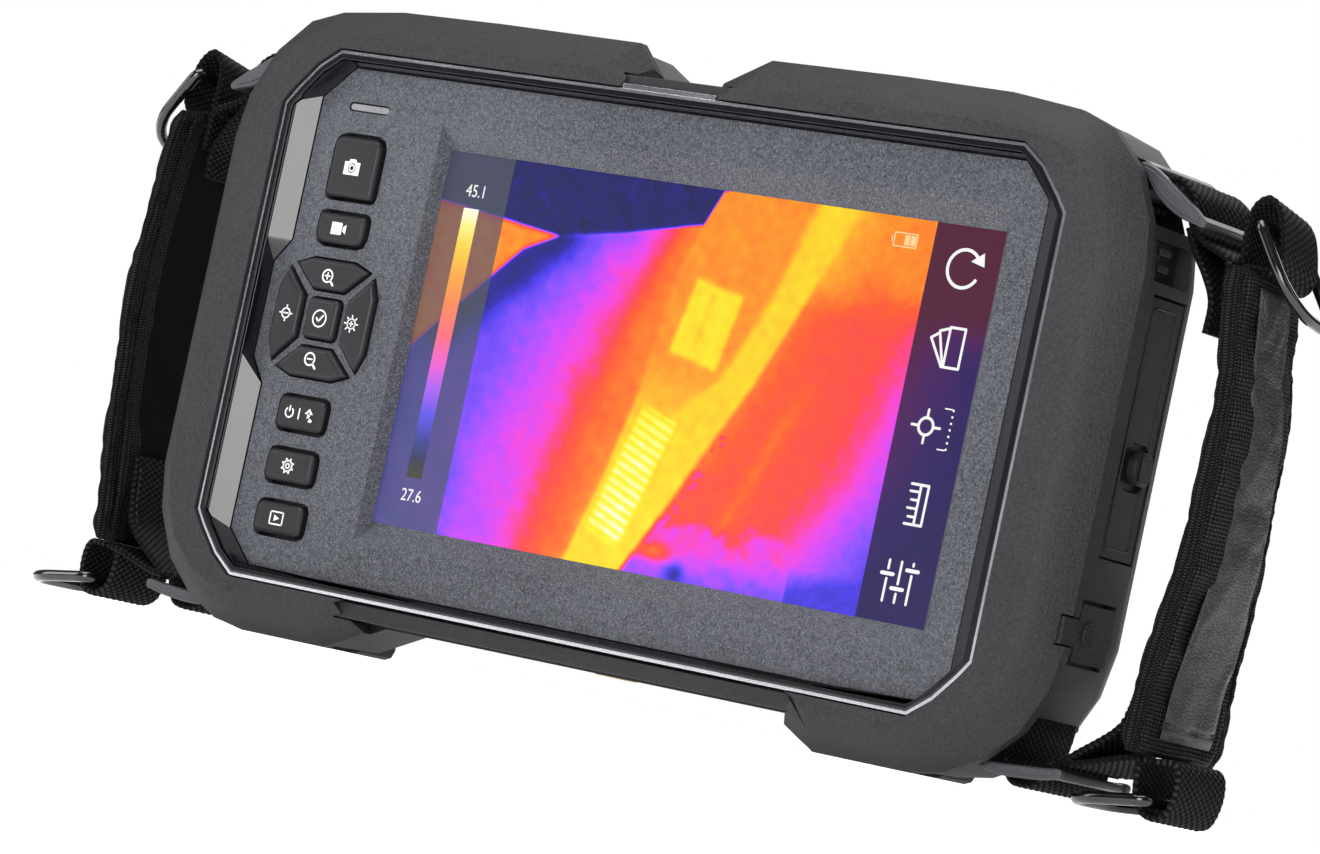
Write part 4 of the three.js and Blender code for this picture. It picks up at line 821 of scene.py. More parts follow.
for side, s in (("right", 1), ("left", -1)):
    for top in (1, 0):
        t = "top" if top else "bottom"
        P = local(top)
        if top:
            path = [[111.0, 56.0], [108.2, 56.1], [105.6, 57.7], [105.3, 60.6], [107.0, 62.5], [109.6, 63.0], [113.0, 62.6], P(-11, -2.5), P(-7.6, -2.4), P(-6.0, -1.6), P(-3.7, 1.7), P(-2.2, 2.6), P(2.2, 2.6), P(3.8, 1.7), P(6.0, -1.6), P(7.4, -2.5), P(11.4, -3.2), [143.4, 45.4], [144.0, 41.5], [144.3, 36.0]]
            tail = [P(7.0, -3.4), [134.6, 46.8], [138.4, 41.8], [141.3, 36.4], [141.5, 29.4]]
            loop = [[143.0, 45.9], [144.9, 45.2], [146.6, 46.6], [146.5, 52.0], [147.5, 58.1], [150.3, 60.1], [153.2, 57.9], [155.4, 51.9], [155.8, 47.5], [154.0, 45.1], [150.0, 44.9], [147.6, 45.0]]
        else:
            path = [[107.3, -57.0], [108.4, -54.4], [111.4, -53.4], [114.0, -55.2], [114.7, -59.2], [114.2, -63.0], P(-5.9, -3.2), P(-5.3, -1.6), P(-3.6, 1.7), P(-2.2, 2.6), P(2.2, 2.6), P(3.6, 1.7), P(5.3, -1.6), P(6.4, -3.2), [131.0, -65.4], [143.6, -62.0], [147.0, -61.4]]
            tail = [[128.0, -66.0], [131.0, -63.6], [141.2, -55.4], [142.8, -50.6], [144.2, -39.0]]
            loop = [[148.5, -61.4], [146.4, -61.6], [145.9, -66.0], [147.2, -71.0], [150.4, -73.1], [154.0, -72.5], [155.9, -67.8], [155.6, -62.6], [154.4, -61.2], [150.2, -61.3]]
        w1 = webbing(f"web_{t}_{side}", path, *WEB_Y, s)
        w2 = webbing(f"web_tail_{t}_{side}", tail, *WEB_Y, s, thick=1.45)
        ly = LOOP_TOP_Y if top else LOOP_Y
        w3 = webbing(f"web_loop_{t}_{side}", loop, *ly, s, thick=1.45)
        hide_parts(f"strap_web_{t}_{side}")
        # tri-glide: two lens-shaped end plates with a groove line, and three rounded bars
        lens = ([[-11, 0.2], [-8, 1.2], [-2, 1.45], [4, 1.4], [8, 1.2], [11, 0.6], [11, -0.6], [8.6, -1.5], [6, -2.4], [3, -2.9], [0, -3.0], [-3, -2.7], [-5, -2.2], [-8.5, -1.2], [-11, -0.6]] if top
                else [[-9, 0.6], [-6.5, 1.2], [-4, 1.6], [0.5, 1.7], [5, 1.6], [8.2, 1.2], [10.5, 0.7], [10.5, -0.9], [5, -1.05], [-4, -1.05], [-9, -0.9]])
        e, w0 = (11, -11) if top else (10, -9)
        pc = []
        for k, (y0, y1) in enumerate(((GLIDE_Y[0], GLIDE_Y[0] + 1.75), (GLIDE_Y[1] - 1.75, GLIDE_Y[1]))):
            out = [P(u, v) for u, v in round_outline(lens)]
            pc.append(solid_prism("plate", out, y0, y1, s, "buckle", "buckle_plastic", "unit", 0.5, 3))
            rib = [P(u * 0.86 - 0.3, v * 0.60 - 0.2) for u, v in round_outline(lens)]
            pc.append(solid_prism("rib", rib, y0 - 0.28 if k == 0 else y0, y1 if k == 0 else y1 + 0.28, s, "buckle", "buckle_plastic", "unit", 0.24, 2))
        for prof in ([[w0, -1.0], [w0, 1.0], [w0 + 2.4, 1.1], [w0 + 2.4, -1.1]], [[-1.6, -1.1], [-1.6, 1.1], [1.6, 1.1], [1.6, -1.1]], [[e - 2.6, -1.1], [e - 2.6, 1.1], [e, 0.9], [e, -0.9]]):
            pc.append(solid_prism("bar", [P(u, v) for u, v in prof], GLIDE_Y[0] + 0.8, GLIDE_Y[1] - 0.8, s, "buckle", "buckle_plastic", "unit", 0.55, 3))
        g = joined(pc, f"slide_buckle_{t}_{side}")
        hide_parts(f"tri_glide_{t}_{side}")
        pin = np.array([151.0, 54.0] if top else [150.9, -69.8])
        d = np.array([math.sin(.61), -math.cos(.61)] if top else ([-math.cos(.13), -math.sin(.13)] if s > 0 else [math.cos(.13), -math.sin(.13)]))
        pts = [(flip(pin[0] + q * d[0], s), y, pin[1] + q * d[1]) for y, q in rounded_rect(ly[0] - 2.6, 0, ly[1] + 2.6, RING_LEN, [2.4, 2.4, 8.8, 8.8])]
        # even steps along the wire
        L = np.array(pts + pts[:1]); cum = np.concatenate([[0], np.cumsum(np.linalg.norm(np.diff(L, axis=0), axis=1))])
        q = np.linspace(0, cum[-1], 121)[:-1]
        pts = np.stack([np.interp(q, cum, L[:, i]) for i in range(3)], 1)
        r = wire_loop(f"wire_ring_{t}_{side}", pts, 1.35, "wire", "black_metal", BODY[f"ring_{t}_{side}"])
        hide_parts(f"ring_{t}_{side}")
        if top:                                          # the loop and its ring hang lower at the rear
            for o in (w3, r):
                co = co_of(o) * 1000 - OFF
                co[:, 2] -= 0.17 * (co[:, 1] - ly[0])
                co[:, 0] -= 1.2 * s
                o.data.vertices.foreach_set("co", DA(co).astype(np.float32).ravel())
                o.data.update()
    # sewing: across the leather's lower end, and a row along the webbing patch inside the pad
    ys = np.arange(13.2, 32.8, 2.3)
    pos = [on_pad(np.array(3.8 + 3.9), y, 3.65) for y in ys]
    pos = [np.array([flip(p[0], s), y, p[2]]) for p, y in zip(pos, ys)]
    stitches(f"stitches_leather_{side}", pos, [(0, 1, 0)] * len(pos), [(s, 0, -0.1)] * len(pos), length=1.7, r=0.26, slot_name="strap_leather")
    zz = np.arange(-56, -41, 1.7)
    for k, yy in enumerate((10.6, 32.6)):
        px = np.interp(zz, [-58, -55.4, -50.6, -39.0], [138.2, 141.2, 142.8, 144.2]) - 0.95
        stitches(f"stitches_patch_{k}_{side}", [(flip(x, s), yy, z) for x, z in zip(px, zz)], [(s * 0.2, 0, 1)] * len(zz), [(-s, 0, 0.2)] * len(zz), length=1.2, r=0.2)


# ------------------------------------------------------------------ black lip that leaves only the ring's outer edge bright
RING_LINE = [(-96.4, -62.6), (96.4, -62.6), (102.2, -58.4), (107.4, -52.6), (110.2, -48.8), (110.2, 48.8), (107.4, 52.6), (102.2, 58.6),
             (96.4, 62.7), (-96.4, 62.7), (-102.2, 58.6), (-107.4, 52.6), (-110.2, 48.8), (-110.2, -48.8), (-107.4, -52.6), (-102.2, -58.4)]


def shrunk(pts, d):
    """The convex outline with each edge moved inwards by d."""
    out = []
    n = len(pts)
    for i in range(n):
        a, b, c = (np.array(pts[k % n], float) for k in (i - 1, i, i + 1))
        e1, e2 = (b - a) / np.linalg.norm(b - a), (c - b) / np.linalg.norm(c - b)
        n1, n2 = np.array([-e1[1], e1[0]]), np.array([-e2[1], e2[0]])
        m = n1 + n2
        out.append(b + m * d / (1 + n1 @ n2))
    return out


def band(name, d0, d1, y0, y1, mat, slot_name):
    """A flat ring between two offsets of the ring's outline and two depths."""
    A, B = shrunk(RING_LINE, d0), shrunk(RING_LINE, d1)
    n = len(A)
    v = [D(x, y, z) for L, y in ((A, y0), (B, y0), (B, y1), (A, y1)) for x, z in L]
    f = [[k * n + i, k * n + (i + 1) % n, ((k + 1) % 4) * n + (i + 1) % n, ((k + 1) % 4) * n + i] for k in range(4) for i in range(n)]
    o = new_mesh(name, v, f, mat, "unit", slot_name)
    bm = bmesh.new(); bm.from_mesh(o.data); bmesh.ops.recalc_face_normals(bm, faces=bm.faces); bm.to_mesh(o.data); bm.free()
    b = o.modifiers.new("edges", "BEVEL")
    b.width, b.segments, b.limit_method, b.angle_limit = 0.0001, 2, "ANGLE", math.radians(35)
    w = o.modifiers.new("normals", "WEIGHTED_NORMAL")
    w.mode, w.weight = "FACE_AREA", 60
    return o


band("trim_lip", 0.75, 2.05, -4.34, -4.0, "gloss", "gloss_black")


# ------------------------------------------------------------------ line drawings for key legends and the screen
class Ink:
    """Flat figures in X and Z (mm), turned into thin closed plates at one depth."""

    def __init__(self):
        self.polys = []

    def fill(self, pts):
        self.polys.append([tuple(p) for p in pts])
        return self

    def stroke(self, pts, w, closed=False):
        p = [np.array(q, float) for q in pts]
        if closed:
            p = p + [p[0]]
        for a, b in zip(p[:-1], p[1:]):
            t = b - a
            n = np.linalg.norm(t)
            if n < 1e-6:
                continue
            t = t / n
            o = np.array([-t[1], t[0]]) * w / 2
            poly = []
            for k in range(5):          # rounded ends
                an = math.pi / 2 + math.pi * k / 4
                poly.append(a + (t * math.cos(an) + o / (w / 2) * math.sin(an)) * w / 2)
            for k in range(5):
                an = -math.pi / 2 + math.pi * k / 4
                poly.append(b + (t * math.cos(an) + o / (w / 2) * math.sin(an)) * w / 2)
            self.polys.append([tuple(q) for q in poly])
        return self

    def arc(self, cx, cz, r, a0, a1, w, n=28):
        """A ring section as one strip of quads."""
        A = [math.radians(a0 + (a1 - a0) * i / n) for i in range(n + 1)]
        for a, b in zip(A[:-1], A[1:]):
            self.polys.append([(cx + (r - w / 2) * math.cos(a), cz + (r - w / 2) * math.sin(a)), (cx + (r + w / 2) * math.cos(a), cz + (r + w / 2) * math.sin(a)),
                               (cx + (r + w / 2) * math.cos(b), cz + (r + w / 2) * math.sin(b)), (cx + (r - w / 2) * math.cos(b), cz + (r - w / 2) * math.sin(b))])
        return self

    def disc(self, cx, cz, r, n=24):
        return self.fill([(cx + r * math.cos(2 * math.pi * i / n), cz + r * math.sin(2 * math.pi * i / n)) for i in range(n)])

    def make(self, name, y_front, y_back, mat, body, slot_name=None):
        bm = bmesh.new()
        for k, poly in enumerate(self.polys):
            a = sum(poly[i][0] * poly[(i + 1) % len(poly)][1] - poly[(i + 1) % len(poly)][0] * poly[i][1] for i in range(len(poly)))
            p = poly if a > 0 else poly[::-1]
            f = [bm.verts.new(D(x, y_front, z)) for x, z in p]
            b = [bm.verts.new(D(x, y_back, z)) for x, z in p]
            n = len(p)
            bm.faces.new(f)
            bm.faces.new(b[::-1])
            for i in range(n):
                bm.faces.new([f[i], b[i], b[(i + 1) % n], f[(i + 1) % n]])
        bmesh.ops.triangulate(bm, faces=[f for f in bm.faces if len(f.verts) > 4])
        me = bpy.data.meshes.new(name)
        bm.to_mesh(me)
        bm.free()
        me.materials.append(MAT[mat])
        o = bpy.data.objects.new(name, me)
        bpy.context.scene.collection.objects.link(o)
        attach(o, body)
        if slot_name:
            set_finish(o, slot_name)
        return o


KX = -88.3
FACE = (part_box("key_capture")[0].y * 1000) - OFF[1]     # the caps' front plane


def legend(name, ink, node):
    ink.make("legend_" + name, FACE - 0.05, FACE + 0.03, "print", BODY[node], "key_plastic")


# still camera
k = Ink(); z = 36.1
for a in ([(-2.3, -1.9), (2.3, -1.9), (2.3, 1.2), (1.25, 1.2), (0.85, 1.85), (-0.85, 1.85), (-1.25, 1.2), (-2.3, 1.2)],):
    # body as a frame round the lens, in four parts, so the lens ring stays dark
    k.fill([(KX - 2.3, z - 1.9), (KX + 2.3, z - 1.9), (KX + 2.3, z - 1.42), (KX - 2.3, z - 1.42)])
    k.fill([(KX - 2.3, z - 1.42), (KX - 1.2, z - 1.42), (KX - 1.2, z + 1.2), (KX - 2.3, z + 1.2)])
    k.fill([(KX + 1.2, z - 1.42), (KX + 2.3, z - 1.42), (KX + 2.3, z + 1.2), (KX + 1.2, z + 1.2)])
    k.fill([(KX - 1.3, z + 0.98), (KX + 1.3, z + 0.98), (KX + 0.85, z + 1.85), (KX - 0.85, z + 1.85)])
    for q in range(8):
        a0, a1 = math.radians(45 * q), math.radians(45 * (q + 1))
        am = (a0 + a1) / 2
        sq = 1.2 / max(abs(math.cos(am)), abs(math.sin(am)))
        c = [(KX + 1.22 * math.cos(a0), z - 0.22 + 1.22 * math.sin(a0)), (KX + 1.22 * math.cos(a1), z - 0.22 + 1.22 * math.sin(a1))]
        ex = lambda an: (KX + 1.2 * math.cos(an) / max(abs(math.cos(an)), abs(math.sin(an))), z - 0.22 + 1.2 * math.sin(an) / max(abs(math.cos(an)), abs(math.sin(an))))
        if q % 2 == 0:
            k.fill([c[0], ex(a0), ex(a1), c[1]])
        else:
            k.fill([c[0], ex(a0), ex(a1), c[1]])
k.arc(KX, z - 0.22, 0.72, 0, 360, 0.34)
legend("capture", k, "key_capture")
# moving-picture camera
k = Ink(); z = 21.4
k.fill([(KX - 2.2, z - 1.45), (KX + 0.75, z - 1.45), (KX + 0.95, z - 1.2), (KX + 0.95, z + 1.2), (KX + 0.75, z + 1.45), (KX - 2.2, z + 1.45)])
k.fill([(KX + 1.25, z - 0.5), (KX + 2.15, z - 1.15), (KX + 2.15, z + 1.15), (KX + 1.25, z + 0.5)])
legend("video", k, "key_video")
# magnifiers
for nm, zc, plus in (("zoom_in", 9.9, 1), ("zoom_out", -9.9, 0)):
    k = Ink()
    k.arc(KX - 0.25, zc + 0.2, 1.45, 0, 360, 0.42)
    k.stroke([(KX + 0.85, zc - 0.9), (KX + 1.75, zc - 1.8)], 0.55)
    k.stroke([(KX - 0.95, zc + 0.2), (KX + 0.45, zc + 0.2)], 0.38)
    if plus:
        k.stroke([(KX - 0.25, zc - 0.5), (KX - 0.25, zc + 0.9)], 0.38)
    legend(nm, k, "key_" + nm)
# target and brightness
k = Ink(); cx = -98.6
k.arc(cx, 0, 1.15, 0, 360, 0.36)
for dx, dz in ((1, 0), (-1, 0), (0, 1), (0, -1)):
    k.stroke([(cx + dx * 1.2, dz * 1.2), (cx + dx * 1.85, dz * 1.85)], 0.36)
k.stroke([(cx - 0.6, 0), (cx + 0.6, 0)], 0.34)
legend("target", k, "key_target")
k = Ink(); cx = -78.6
k.arc(cx, 0, 1.15, 0, 360, 0.32)
for i in range(8):
    a = math.pi * i / 4
    k.stroke([(cx + 1.15 * math.cos(a), 1.15 * math.sin(a)), (cx + 1.95 * math.cos(a), 1.95 * math.sin(a))], 0.34)
k.stroke([(cx - 0.55, 0), (cx + 0.55, 0)], 0.32)
k.stroke([(cx, -0.55), (cx, 0.55)], 0.32)
legend("brightness", k, "key_brightness")
# confirm
k = Ink()
k.arc(KX, 0, 1.95, 0, 360, 0.36, 40)
k.stroke([(KX - 0.85, 0.0), (KX - 0.2, -0.75), (KX + 1.0, 0.75)], 0.44)
legend("ok", k, "key_ok")
# power and back
k = Ink(); z = -22.7
k.arc(KX - 2.9, z, 1.15, 125, 415, 0.38)
k.stroke([(KX - 2.9, z + 0.35), (KX - 2.9, z + 1.5)], 0.38)
k.stroke([(KX + 0.05, z - 1.2), (KX + 0.05, z + 1.2)], 0.34)
k.fill([(KX + 3.0, z + 1.6), (KX + 1.75, z + 0.25), (KX + 4.25, z + 0.25)])
k.stroke([(KX + 3.0, z + 0.4), (KX + 3.0, z - 1.0), (KX + 3.9, z - 1.25)], 0.75)
legend("power", k, "key_power_back")
# settings
k = Ink(); z = -35.1
k.arc(KX, z, 1.28, 0, 360, 0.42)
for i in range(8):
    a = math.pi * i / 4 + math.pi / 8
    k.stroke([(KX + 1.42 * math.cos(a), z + 1.42 * math.sin(a)), (KX + 1.72 * math.cos(a), z + 1.72 * math.sin(a))], 0.52)
k.arc(KX, z, 0.52, 0, 360, 0.34)
legend("settings", k, "key_settings")
# playback
k = Ink(); z = -47.5
k.stroke([(KX - 1.9, z - 1.45), (KX + 1.9, z - 1.45), (KX + 1.9, z + 1.45), (KX - 1.9, z + 1.45)], 0.36, closed=True)
k.fill([(KX - 0.7, z - 0.75), (KX + 0.9, z), (KX - 0.7, z + 0.75)])
legend("playback", k, "key_playback")

# a raised C on the plug flap and a raised line inside the door's edge
a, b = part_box("plug_flap")
fx, fy, fz = b.x * 1000 - OFF[0], (a.y + b.y) * 500 - OFF[1], (a.z + b.z) * 500 - OFF[2]
ring = [(math.radians(60 + 240 * i / 24), 2.5) for i in range(25)] + [(math.radians(300 - 240 * i / 24), 1.9) for i in range(25)]
wire_loop("flap_thumb_mark", [(fx + 0.02, fy + 1.2 + r * math.cos(q), fz + r * math.sin(q)) for q, r in ring], 0.34, "rubber", "rubber", BODY["plug_flap"], m=10)
a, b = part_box("port_door")
dx = b.x * 1000 - OFF[0]
y0, y1, z0, z1 = a.y * 1000 - OFF[1] + 1.9, b.y * 1000 - OFF[1] - 1.9, a.z * 1000 - OFF[2] + 2.2, b.z * 1000 - OFF[2] - 2.2
line = [(dx - 0.02, y, z) for y, z in rounded_rect(y0, z0, y1, z1, [1.6] * 4, 5)]
wire_loop("door_frame_line", line, 0.26, "door", "dark_plastic", BODY["port_door"], m=10)


# ------------------------------------------------------------------ screen
X0, X1, Z0, Z1 = -63.55, 91.45, -43.5, 43.5
YF = (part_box("touch_glass")[0].y * 1000) - OFF[1]       # front face of the glass


def sst(a, b, x):
    t = np.clip((x - a) / (b - a), 0, 1)
    return t * t * (3 - 2 * t)


def waves(x, y, seed, n=22, lo=0.004, hi=0.05):
    """Slow smooth unevenness from a few fixed waves."""
    r = np.random.RandomState(seed)
    out = np.zeros_like(x)
    for _ in range(n):
        f = r.uniform(lo, hi)
        a = r.uniform(0, 2 * math.pi)
        out += np.sin(2 * math.pi * f * (x * math.cos(a) + y * math.sin(a)) + r.uniform(0, 6.28))
    return out / n ** 0.5


def temperature(u, v):
    """Heat over the screen, u to the right and v down, both 0..1: a cold backdrop, a hot pipe that crosses from the top to the lower left, and warm walls."""
    x, y = u * 1060, v * 602
    w1, w2, w3 = waves(x, y, 3), waves(x, y, 7, 26, 0.01, 0.09), waves(x, y, 11, 16, 0.002, 0.012)
    xl = np.interp(y, [0, 60, 150, 300, 460, 602], [540, 512, 482, 462, 424, 380])
    xr = np.interp(y, [0, 150, 290, 380, 480, 602], [790, 728, 664, 612, 560, 490])
    xi = np.interp(y, [0, 150, 290, 360, 420], [716, 668, 600, 520, 440])
    # left field: warm near the pipe, cooling to the left
    d = (xl - x) / np.interp(y, [40, 140, 300, 460, 602], [0.42, 0.62, 1.0, 1.05, 0.85])
    left = np.interp(d, [-5, 12, 50, 90, 130, 195, 290, 400], [0.765, 0.735, 0.70, 0.615, 0.555, 0.485, 0.40, 0.345]) + 0.010 * w1 + 0.014 * w3
    left += 0.02 * np.exp(-((x - 400) / 60) ** 2 - ((y - 470) / 90) ** 2)
    # a cool hollow under the wedge's tip
    t = np.clip(((x - 245) * (-120) + (y - 112) * 105) / (120 ** 2 + 105 ** 2), 0, 1.6)
    dist = np.hypot(x - (245 - 120 * t), y - (112 + 105 * t))
    left -= 0.16 * np.exp(-(dist / 34) ** 2) * (x < 400)
    # hot pipe
    hot = 0.775 + 0.010 * w1
    hot = hot + 0.095 * sst(-14, 14, x - xi) + 0.085 * sst(230, 400, y) * (1 - sst(-14, 14, x - xi))
    hot += 0.025 * sst(330, 560, y)
    a = math.radians(12)
    bx, by = (x - 556) * math.cos(a) - (y - 208) * -math.sin(a), (x - 556) * -math.sin(a) + (y - 208) * math.cos(a)
    box = (1 - sst(40, 54, np.abs(bx))) * (1 - sst(52, 68, np.abs(by)))
    hot += 0.12 * box - 0.03 * np.exp(-((bx + 6) / 7) ** 2) * (np.abs(by) < 46)
    # ridges of a threaded end, across the pipe's own line
    s = (x - 512) * -0.30 + (y - 352) * 0.954
    c = (x - 512) * 0.954 + (y - 352) * 0.30
    band = sst(0, 8, s) * (1 - sst(196, 226, s)) * (1 - sst(30, 40, np.abs(c + 4)))
    hot += band * (0.035 + 0.060 * (0.5 + 0.5 * np.sin(2 * math.pi * s / 14.2 - 0.3 * c / 14)) ** 0.8)
    edge = sst(xl - 5, xl + 7, x)
    T = left * (1 - edge) + hot * edge
    # right of the pipe
    far = x - np.interp(y, [0, 180, 400, 545, 602], [1180, 945, 868, 770, 545])
    right = np.interp(far, [-260, -150, -60, -10, 40, 110, 200], [0.665, 0.655, 0.645, 0.59, 0.50, 0.40, 0.31])
    right = right * sst(85, 185, y + 14 * w3) + (0.765 - 0.00006 * (x - 800)) * (1 - sst(85, 185, y + 14 * w3))
    right += 0.075 * np.exp(-np.clip(x - xr, 0, None) / 34) * (y < 430)
    ln = (x - 768) * 0.914 + (y - 270) * 0.406
    right += 0.050 * np.exp(-(ln / 17) ** 2) * sst(250, 320, y) * (1 - sst(500, 560, y))
    right += 0.007 * w1 + 0.005 * w2
    low = sst(-16, 16, y - 515 - 16 * w3 - 4 * w1) * (x < 800)
    right = right * (1 - low * 0.9) + low * 0.9 * (0.53 - 0.13 * sst(0, 75, y - 530) + 0.018 * w1)
    right += 0.19 * np.exp(-((x - 545) / 46) ** 2 - ((y - 562) / 15) ** 2) - 0.20 * np.exp(-((x - 592) / 17) ** 2 - ((y - 590) / 18) ** 2)
    nb = np.exp(-((x - xr - 12 - 6 * w2) / 7) ** 2) * (y > 370) * (y < 520)
    right -= 0.11 * nb * (w2 > 0.1)
    edge = sst(xr - 7, xr + 9, x)
    T = T * (1 - edge) + right * edge
    # cold backdrop above, with its crisp edge
    yb = np.interp(x, [0, 123, 243, 368, 512, 538], [80, 94, 108, 88, 58, 2])
    cold = 0.150 + 0.012 * w2 + 0.016 * w1
    k = sst(-3.2, 3.2, yb - y) * (x < 545)
    T = T * (1 - k) + cold * k
    T += 0.05 * np.exp(-((y - yb) / 5) ** 2) * (x > 250) * (x < 500)
    # hot wedge at the left
    px = [0, 0, 246, 182, 120]
    top_e = np.interp(x, [0, 246], [80, 108])
    bot_e = np.interp(x, [0, 120, 182, 246], [318, 198, 138, 110])
    k = sst(-3.5, 3.5, y - top_e) * sst(-3.5, 3.5, bot_e - y) * (x < 246)
    rim = np.exp(-((y - top_e) / 6) ** 2) + np.exp(-((y - bot_e) / 6) ** 2)
    T = T * (1 - k) + k * (0.775 + 0.015 * w1 - 0.12 * rim)
    return np.clip(T, 0.02, 0.995)


nx, nz = 430, 244
u, v = np.meshgrid(np.linspace(0, 1, nx), np.linspace(0, 1, nz))
T = temperature(u, v)
px, pz = X0 - 0.6 + u * (X1 - X0 + 1.2), Z1 + 0.6 - v * (Z1 - Z0 + 1.2)
verts = DA(np.stack([px, np.full_like(px, YF - 0.06), pz], -1).reshape(-1, 3))
i, j = np.meshgrid(np.arange(nz - 1), np.arange(nx - 1), indexing="ij")
quads = np.stack([(i * nx + j).ravel(), ((i + 1) * nx + j).ravel(), ((i + 1) * nx + j + 1).ravel(), (i * nx + j + 1).ravel()], 1).tolist()
# a thin back and sides close it
nb = len(verts)
back = DA(np.array([[X0 - .6, YF - 0.02, Z1 + .6], [X1 + .6, YF - 0.02, Z1 + .6], [X1 + .6, YF - 0.02, Z0 - .6], [X0 - .6, YF - 0.02, Z0 - .6]]))
topr = list(range(nx)); rightc = [r * nx + nx - 1 for r in range(nz)]; botr = [(nz - 1) * nx + q for q in range(nx)][::-1]; leftc = [r * nx for r in range(nz)][::-1]
quads.append([nb, nb + 1, nb + 2, nb + 3])
quads += [topr + [nb + 1, nb], rightc + [nb + 2, nb + 1], botr + [nb + 3, nb + 2], leftc + [nb, nb + 3]]
screen = new_mesh("screen_picture", np.vstack([verts, back]), quads, "picture", "unit", "screen_glass", smooth=False)
at = screen.data.attributes.new("heat_level", "FLOAT", "POINT")
at.data.foreach_set("value", np.concatenate([T.ravel(), np.zeros(4)]).astype(np.float32))

YI = YF - 0.10                                          # front of the drawn marks
# colour scale with the same palette, hot at the top
t = Tree("colour_scale")
sep = t.node("ShaderNodeSeparateXYZ", {"Vector": t.coords()})
fac = t.range(sep.outputs["Z"], float(D(0, 0, -32.2).z), float(D(0, 0, 31.2).z), 0.0, 1.0)
SCALE = [(0.0, (62, 64, 40)), (0.035, (58, 60, 58)), (0.07, (44, 50, 84)), (0.14, (52, 62, 150)), (0.24, (96, 84, 236)), (0.34, (176, 96, 244)), (0.42, (240, 96, 214)), (0.52, (252, 108, 130)), (0.64, (252, 136, 84)), (0.76, (252, 172, 60)), (0.86, (252, 214, 70)), (0.94, (254, 246, 140)), (1.0, (255, 255, 240))]
t.set(base=(0.01, 0.01, 0.01), rough=0.25, emit=t.ramp(fac, [(p, lin(c)) for p, c in SCALE]), power=0.97)
MAT["scale"] = t.m
Ink().fill([(-56.9, -32.2), (-52.5, -32.2), (-52.5, 31.2), (-56.9, 31.2)]).make("screen_scale", YI, YF - 0.05, "scale", "unit", "screen_glass")


def number(text, x, z, size, name):
    cu = bpy.data.curves.new(name, "FONT")
    cu.body = text
    cu.size = size / 1000
    cu.align_x, cu.align_y = "CENTER", "CENTER"
    cu.extrude = 0.00002
    cu.resolution_u = 6
    o = bpy.data.objects.new(name + "_text", cu)
    bpy.context.scene.collection.objects.link(o)
    bpy.context.view_layer.update()
    dg = bpy.context.evaluated_depsgraph_get()
    me = bpy.data.meshes.new_from_object(o.evaluated_get(dg))
    bpy.data.objects.remove(o)
    me.transform(Matrix.Translation(D(x, YI, z)) @ Matrix.Rotation(math.radians(90), 4, "X") @ Matrix.Diagonal((0.86, 1, 1, 1)))
    me.materials.clear()
    me.materials.append(MAT["white_ui"])
    me.name = name
    q = bpy.data.objects.new(name, me)
    bpy.context.scene.collection.objects.link(q)
    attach(q, "unit")
    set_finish(q, "screen_glass")


number("45.1", -54.3, 35.2, 4.1, "screen_number_high")
number("27.6", -54.3, -36.4, 4.1, "screen_number_low")

IX = 82.3
k = Ink(); z = 34.6                                     # turn arrow
k.arc(IX, z, 4.2, -28, -318, 0.75, 40)
k.fill([(IX + 4.6, z + 4.0), (IX + 5.2, z + 0.9), (IX + 1.5, z + 1.8)])
z = 17.2                                                # palette cards
k.stroke([(IX - 0.1, z - 4.4), (IX + 3.9, z - 4.4), (IX + 3.9, z + 4.4), (IX - 0.1, z + 4.4)], 0.6, closed=True)
k.stroke([(IX - 0.3, z - 4.4), (IX - 2.7, z + 3.3), (IX - 0.6, z + 4.0)], 0.6)
k.stroke([(IX - 0.6, z - 4.4), (IX - 4.6, z + 1.6), (IX - 2.9, z + 2.7)], 0.6)
z = -0.5                                                # measuring spot with a dotted line
k.arc(IX - 1.2, z, 1.9, 0, 360, 0.65)
for dx, dz in ((1, 0), (-1, 0), (0, 1), (0, -1)):
    k.stroke([(IX - 1.2 + dx * 1.9, z + dz * 1.9), (IX - 1.2 + dx * 3.7, z + dz * 3.7)], 0.6)
for q in range(7):
    k.disc(IX + 5.1, z + 4.3 - q * 1.43, 0.28, 10)
k.stroke([(IX + 2.9, z + 4.5), (IX + 4.7, z + 4.5)], 0.3)
k.stroke([(IX + 2.9, z - 4.5), (IX + 4.7, z - 4.5)], 0.3)
z = -17.6                                               # ruler
k.stroke([(IX - 1.6, z + 4.4), (IX + 2.9, z + 4.4), (IX + 2.9, z - 4.4), (IX - 1.6, z - 4.4)], 0.6)
k.stroke([(IX + 0.9, z + 4.4), (IX + 0.9, z - 4.4)], 0.6)
for q in range(4):
    k.stroke([(IX - 1.0 if q % 2 else IX - 1.6, z + 2.8 - q * 1.85), (IX + 0.9, z + 2.8 - q * 1.85)], 0.55)
z = -34.8                                               # sliders
for dx, h in ((-3.1, 1.5), (0.1, -1.5), (3.2, 2.9)):
    k.stroke([(IX + dx, z + 4.5), (IX + dx, z + h + 1.1)], 0.6)
    k.stroke([(IX + dx, z + h - 1.1), (IX + dx, z - 4.5)], 0.6)
    k.stroke([(IX + dx - 1.5, z + h), (IX + dx + 1.5, z + h)], 0.85)
k.make("screen_icons", YI, YF - 0.05, "white_ui", "unit", "screen_glass")
k = Ink(); bx, bz = 65.8, 38.9                           # charge mark
k.stroke([(bx - 3.0, bz - 1.5), (bx + 3.0, bz - 1.5), (bx + 3.0, bz + 1.5), (bx - 3.0, bz + 1.5)], 0.28, closed=True)
